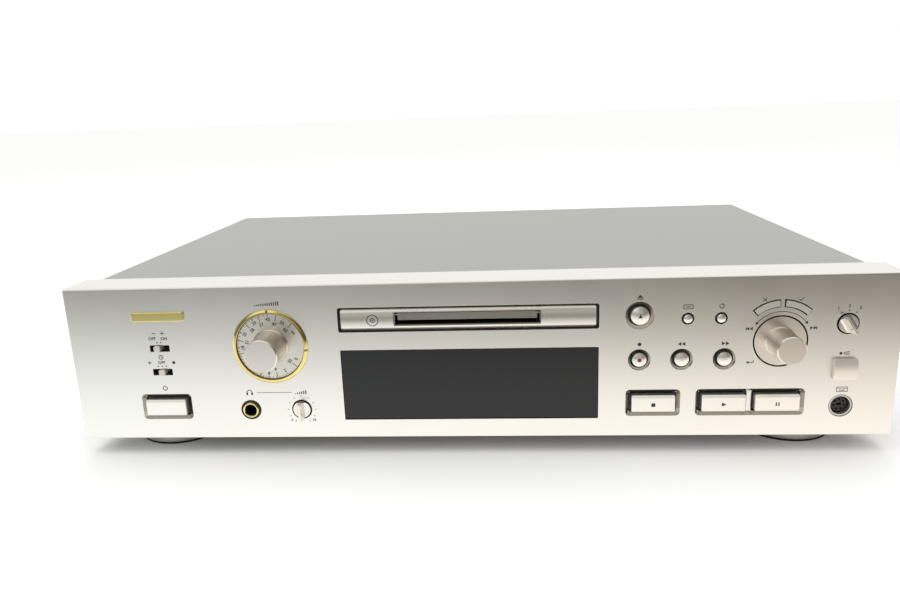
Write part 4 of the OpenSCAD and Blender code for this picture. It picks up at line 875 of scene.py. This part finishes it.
# Where one of these shades runs into the next, by the way that a reflection points
AHEAD_SPAN, CEILING_SPAN, BEHIND_SPAN = (-0.85, -0.98), (0.5, 0.85), (-0.25, 0.25)
WINDOW_SPAN = (0.9, 0.965)
FAR_LEFT, FAR_RIGHT = "#6e6d6a", "#554f46"
NEAR_LEFT, NEAR_RIGHT = "#f8fcff", "#f9f3ec"
FLOOR_SHEEN = 1.28
REACH_LEFT, REACH_RIGHT = 0.46, 0.37        # m ahead of the deck, where the floor is at its dimmest
REACH_SPAN = (-0.28, 0.26)                  # m across, from the left reach to the right one
DIMS_FROM = 0.03                            # m ahead, where the floor starts to dim
TINT_SPAN = (-0.3, 0.3)                     # m across, from the left tint to the right one
SHADE_ASIDE, SHADE_AHEAD = (0.19, 0.23), (-0.01, 0.015)     # m, edges of the painted shadow below the deck
SHADE_BEHIND = 0.02                         # m, half the width of its rear edge
FLOOR_PAINTED_SHADOW = 0.06                         # its level under the deck, where reflections find a painted shadow
FLOOR_GLOW = 0.03
LIGHT_SIDE, LIGHT_TOP = 0.05, 1.42          # strength of the white room at eye level and overhead
LAMP_WATTS = 4.0
WHITE = "#ffffff"


def camera():
    """The eye, where the photograph was taken from."""
    eye = bpy.data.objects.new("camera", bpy.data.cameras.new("camera"))
    bpy.context.scene.collection.objects.link(eye)
    eye.location = in_frame(CAMERA_X, CAMERA_Z, proud=CAMERA_AHEAD)
    eye.rotation_euler = Euler([math.radians(a) for a in CAMERA_TURN])
    eye.data.sensor_width = 36
    eye.data.lens = FOCAL_LENGTH
    bpy.context.scene.camera = eye


def soft_lamp(name, place, watts, side):
    """A square lamp aimed at the deck, seen neither by the eye nor in reflections."""
    lamp = bpy.data.objects.new(name, bpy.data.lights.new(name, "AREA"))
    bpy.context.scene.collection.objects.link(lamp)
    lamp.location = place
    lamp.rotation_euler = (-Vector(place)).to_track_quat("-Z", "Y").to_euler()
    lamp.data.energy = watts
    lamp.data.size = side
    lamp.visible_camera = False
    lamp.visible_glossy = False


def white_room():
    """White all round for the eye; reflections find a dim room in front, darker to the right."""
    world = bpy.data.worlds.new("white_room")
    bpy.context.scene.world = world
    world.use_nodes = True
    tree = world.node_tree
    tree.nodes.clear()
    place = add(tree, "TexCoord").outputs["Generated"]
    way = add(tree, "SeparateXYZ", {"Vector": place})
    side = add(tree, "MapRange", {"Value": way.outputs["X"], "From Min": -1.0})
    wall = add(tree, "MixRGB", {"Fac": side.outputs[0], "Color1": linear(ROOM_LEFT),
                                "Color2": linear(ROOM_RIGHT)})
    straight = add(tree, "MapRange", {"Value": way.outputs["Y"], "From Min": AHEAD_SPAN[0],
                                      "From Max": AHEAD_SPAN[1]})
    front = add(tree, "MixRGB", {"Fac": straight.outputs[0], "Color1": wall.outputs[0],
                                 "Color2": linear(ROOM_AHEAD)})
    high = add(tree, "MapRange", {"Value": way.outputs["Z"], "From Min": CEILING_SPAN[0],
                                  "From Max": CEILING_SPAN[1]}, interpolation_type="SMOOTHSTEP")
    dim = add(tree, "MixRGB", {"Fac": high.outputs[0], "Color1": front.outputs[0],
                               "Color2": linear(CEILING)})
    behind = add(tree, "MapRange", {"Value": way.outputs["Y"], "From Min": BEHIND_SPAN[0],
                                    "From Max": BEHIND_SPAN[1]}, interpolation_type="SMOOTHSTEP")
    turn = add(tree, "VectorMath", {0: place, 1: Vector(WINDOW_WAY).normalized()},
               operation="DOT_PRODUCT")
    window = add(tree, "MapRange", {"Value": turn.outputs["Value"], "From Min": WINDOW_SPAN[0],
                                    "From Max": WINDOW_SPAN[1]}, interpolation_type="SMOOTHSTEP")
    bright = add(tree, "Math", {0: behind.outputs[0], 1: window.outputs[0]}, operation="MAXIMUM")
    tint = add(tree, "MixRGB", {"Fac": bright.outputs[0], "Color1": dim.outputs[0],
                                "Color2": linear(WHITE)})
    seen = add(tree, "Background", {"Color": linear(WHITE), "Strength": 1.0})
    mirrored = add(tree, "Background", {"Color": tint.outputs[0], "Strength": 1.0})
    fall = add(tree, "MapRange", {"Value": way.outputs["Z"], "To Min": LIGHT_SIDE, "To Max": LIGHT_TOP})
    lit = add(tree, "Background", {"Color": linear(WHITE), "Strength": fall.outputs[0]})
    ray = add(tree, "LightPath")
    open_ray = add(tree, "Math", {0: ray.outputs["Is Camera Ray"], 1: ray.outputs["Is Transmission Ray"]},
                   operation="ADD", use_clamp=True)
    first = add(tree, "MixShader", {0: ray.outputs["Is Glossy Ray"], 1: lit.outputs[0],
                                    2: mirrored.outputs[0]})
    last = add(tree, "MixShader", {0: open_ray.outputs[0], 1: first.outputs[0], 2: seen.outputs[0]})
    add(tree, "OutputWorld", {"Surface": last.outputs[0]})


def floor():
    """White paper floor. For reflections it glows instead, a painted reflection: bright by the deck and
    dim towards the front, with a painted shadow beneath the deck.
    """
    bpy.ops.mesh.primitive_plane_add(size=40, location=(0, 0, 0))
    sheet = bpy.context.object
    sheet.name = "floor"
    paper = bpy.data.materials.new("paper_floor_white")
    paper.use_nodes = True
    tree = paper.node_tree
    tree.nodes.clear()
    place = add(tree, "SeparateXYZ", {"Vector": add(tree, "TexCoord").outputs["Object"]})
    ahead = add(tree, "Math", {0: FACE, 1: place.outputs["Y"]}, operation="SUBTRACT")
    reach = add(tree, "MapRange", {"Value": place.outputs["X"], "From Min": REACH_SPAN[0],
                                   "From Max": REACH_SPAN[1], "To Min": REACH_LEFT,
                                   "To Max": REACH_RIGHT})
    fall = add(tree, "MapRange", {"Value": ahead.outputs[0], "From Min": DIMS_FROM, "To Min": 1.0,
                                  "From Max": reach.outputs[0], "To Max": 0.0},
               interpolation_type="SMOOTHSTEP")
    side = add(tree, "MapRange", {"Value": place.outputs["X"], "From Min": TINT_SPAN[0],
                                  "From Max": TINT_SPAN[1]})
    far = add(tree, "MixRGB", {"Fac": side.outputs[0], "Color1": linear(FAR_LEFT),
                               "Color2": linear(FAR_RIGHT)})
    close = add(tree, "MixRGB", {"Fac": side.outputs[0], "Color1": linear(NEAR_LEFT),
                                 "Color2": linear(NEAR_RIGHT)})
    tint = add(tree, "MixRGB", {"Fac": fall.outputs[0], "Color1": far.outputs[0],
                                "Color2": close.outputs[0]})
    # painted shadow: the glow that reflections find is dimmed beneath the deck
    across = add(tree, "Math", {0: place.outputs["X"]}, operation="ABSOLUTE")
    aside = add(tree, "MapRange", {"Value": across.outputs[0], "From Min": SHADE_ASIDE[0],
                                   "From Max": SHADE_ASIDE[1]})
    before = add(tree, "MapRange", {"Value": ahead.outputs[0], "From Min": SHADE_AHEAD[0],
                                    "From Max": SHADE_AHEAD[1]})
    beyond = add(tree, "MapRange", {"Value": place.outputs["Y"], "From Min": REAR - SHADE_BEHIND,
                                    "From Max": REAR + SHADE_BEHIND})
    open_side = add(tree, "Math", {0: aside.outputs[0], 1: before.outputs[0]}, operation="MAXIMUM")
    clear = add(tree, "Math", {0: open_side.outputs[0], 1: beyond.outputs[0]}, operation="MAXIMUM")
    level = add(tree, "MapRange", {"Value": clear.outputs[0], "To Min": FLOOR_PAINTED_SHADOW,
                                   "To Max": FLOOR_SHEEN})
    mirrored = add(tree, "Emission", {"Color": tint.outputs[0], "Strength": level.outputs[0]})
    lit = add(tree, "BsdfDiffuse", {"Color": linear("#fdfdfc")})
    glow = add(tree, "Emission", {"Color": linear(WHITE), "Strength": FLOOR_GLOW})
    seen = add(tree, "AddShader", {0: lit.outputs[0], 1: glow.outputs[0]})
    ray = add(tree, "LightPath")
    mixed = add(tree, "MixShader", {0: ray.outputs["Is Glossy Ray"], 1: seen.outputs[0],
                                    2: mirrored.outputs[0]})
    # from below the sheet is clear, so that the deck's underside can be looked at
    below = add(tree, "NewGeometry").outputs["Backfacing"]
    either = add(tree, "MixShader", {0: below, 1: mixed.outputs[0],
                                     2: add(tree, "BsdfTransparent").outputs[0]})
    add(tree, "OutputMaterial", {"Surface": either.outputs[0]})
    sheet.data.materials.append(paper)


camera()
soft_lamp("lamp_left", (-0.8, -0.5, 1.3), LAMP_WATTS, 1.4)
soft_lamp("lamp_above", (0.1, 0.5, 1.5), LAMP_WATTS, 1.6)
white_room()
floor()
bpy.context.scene.view_settings.view_transform = "Standard"
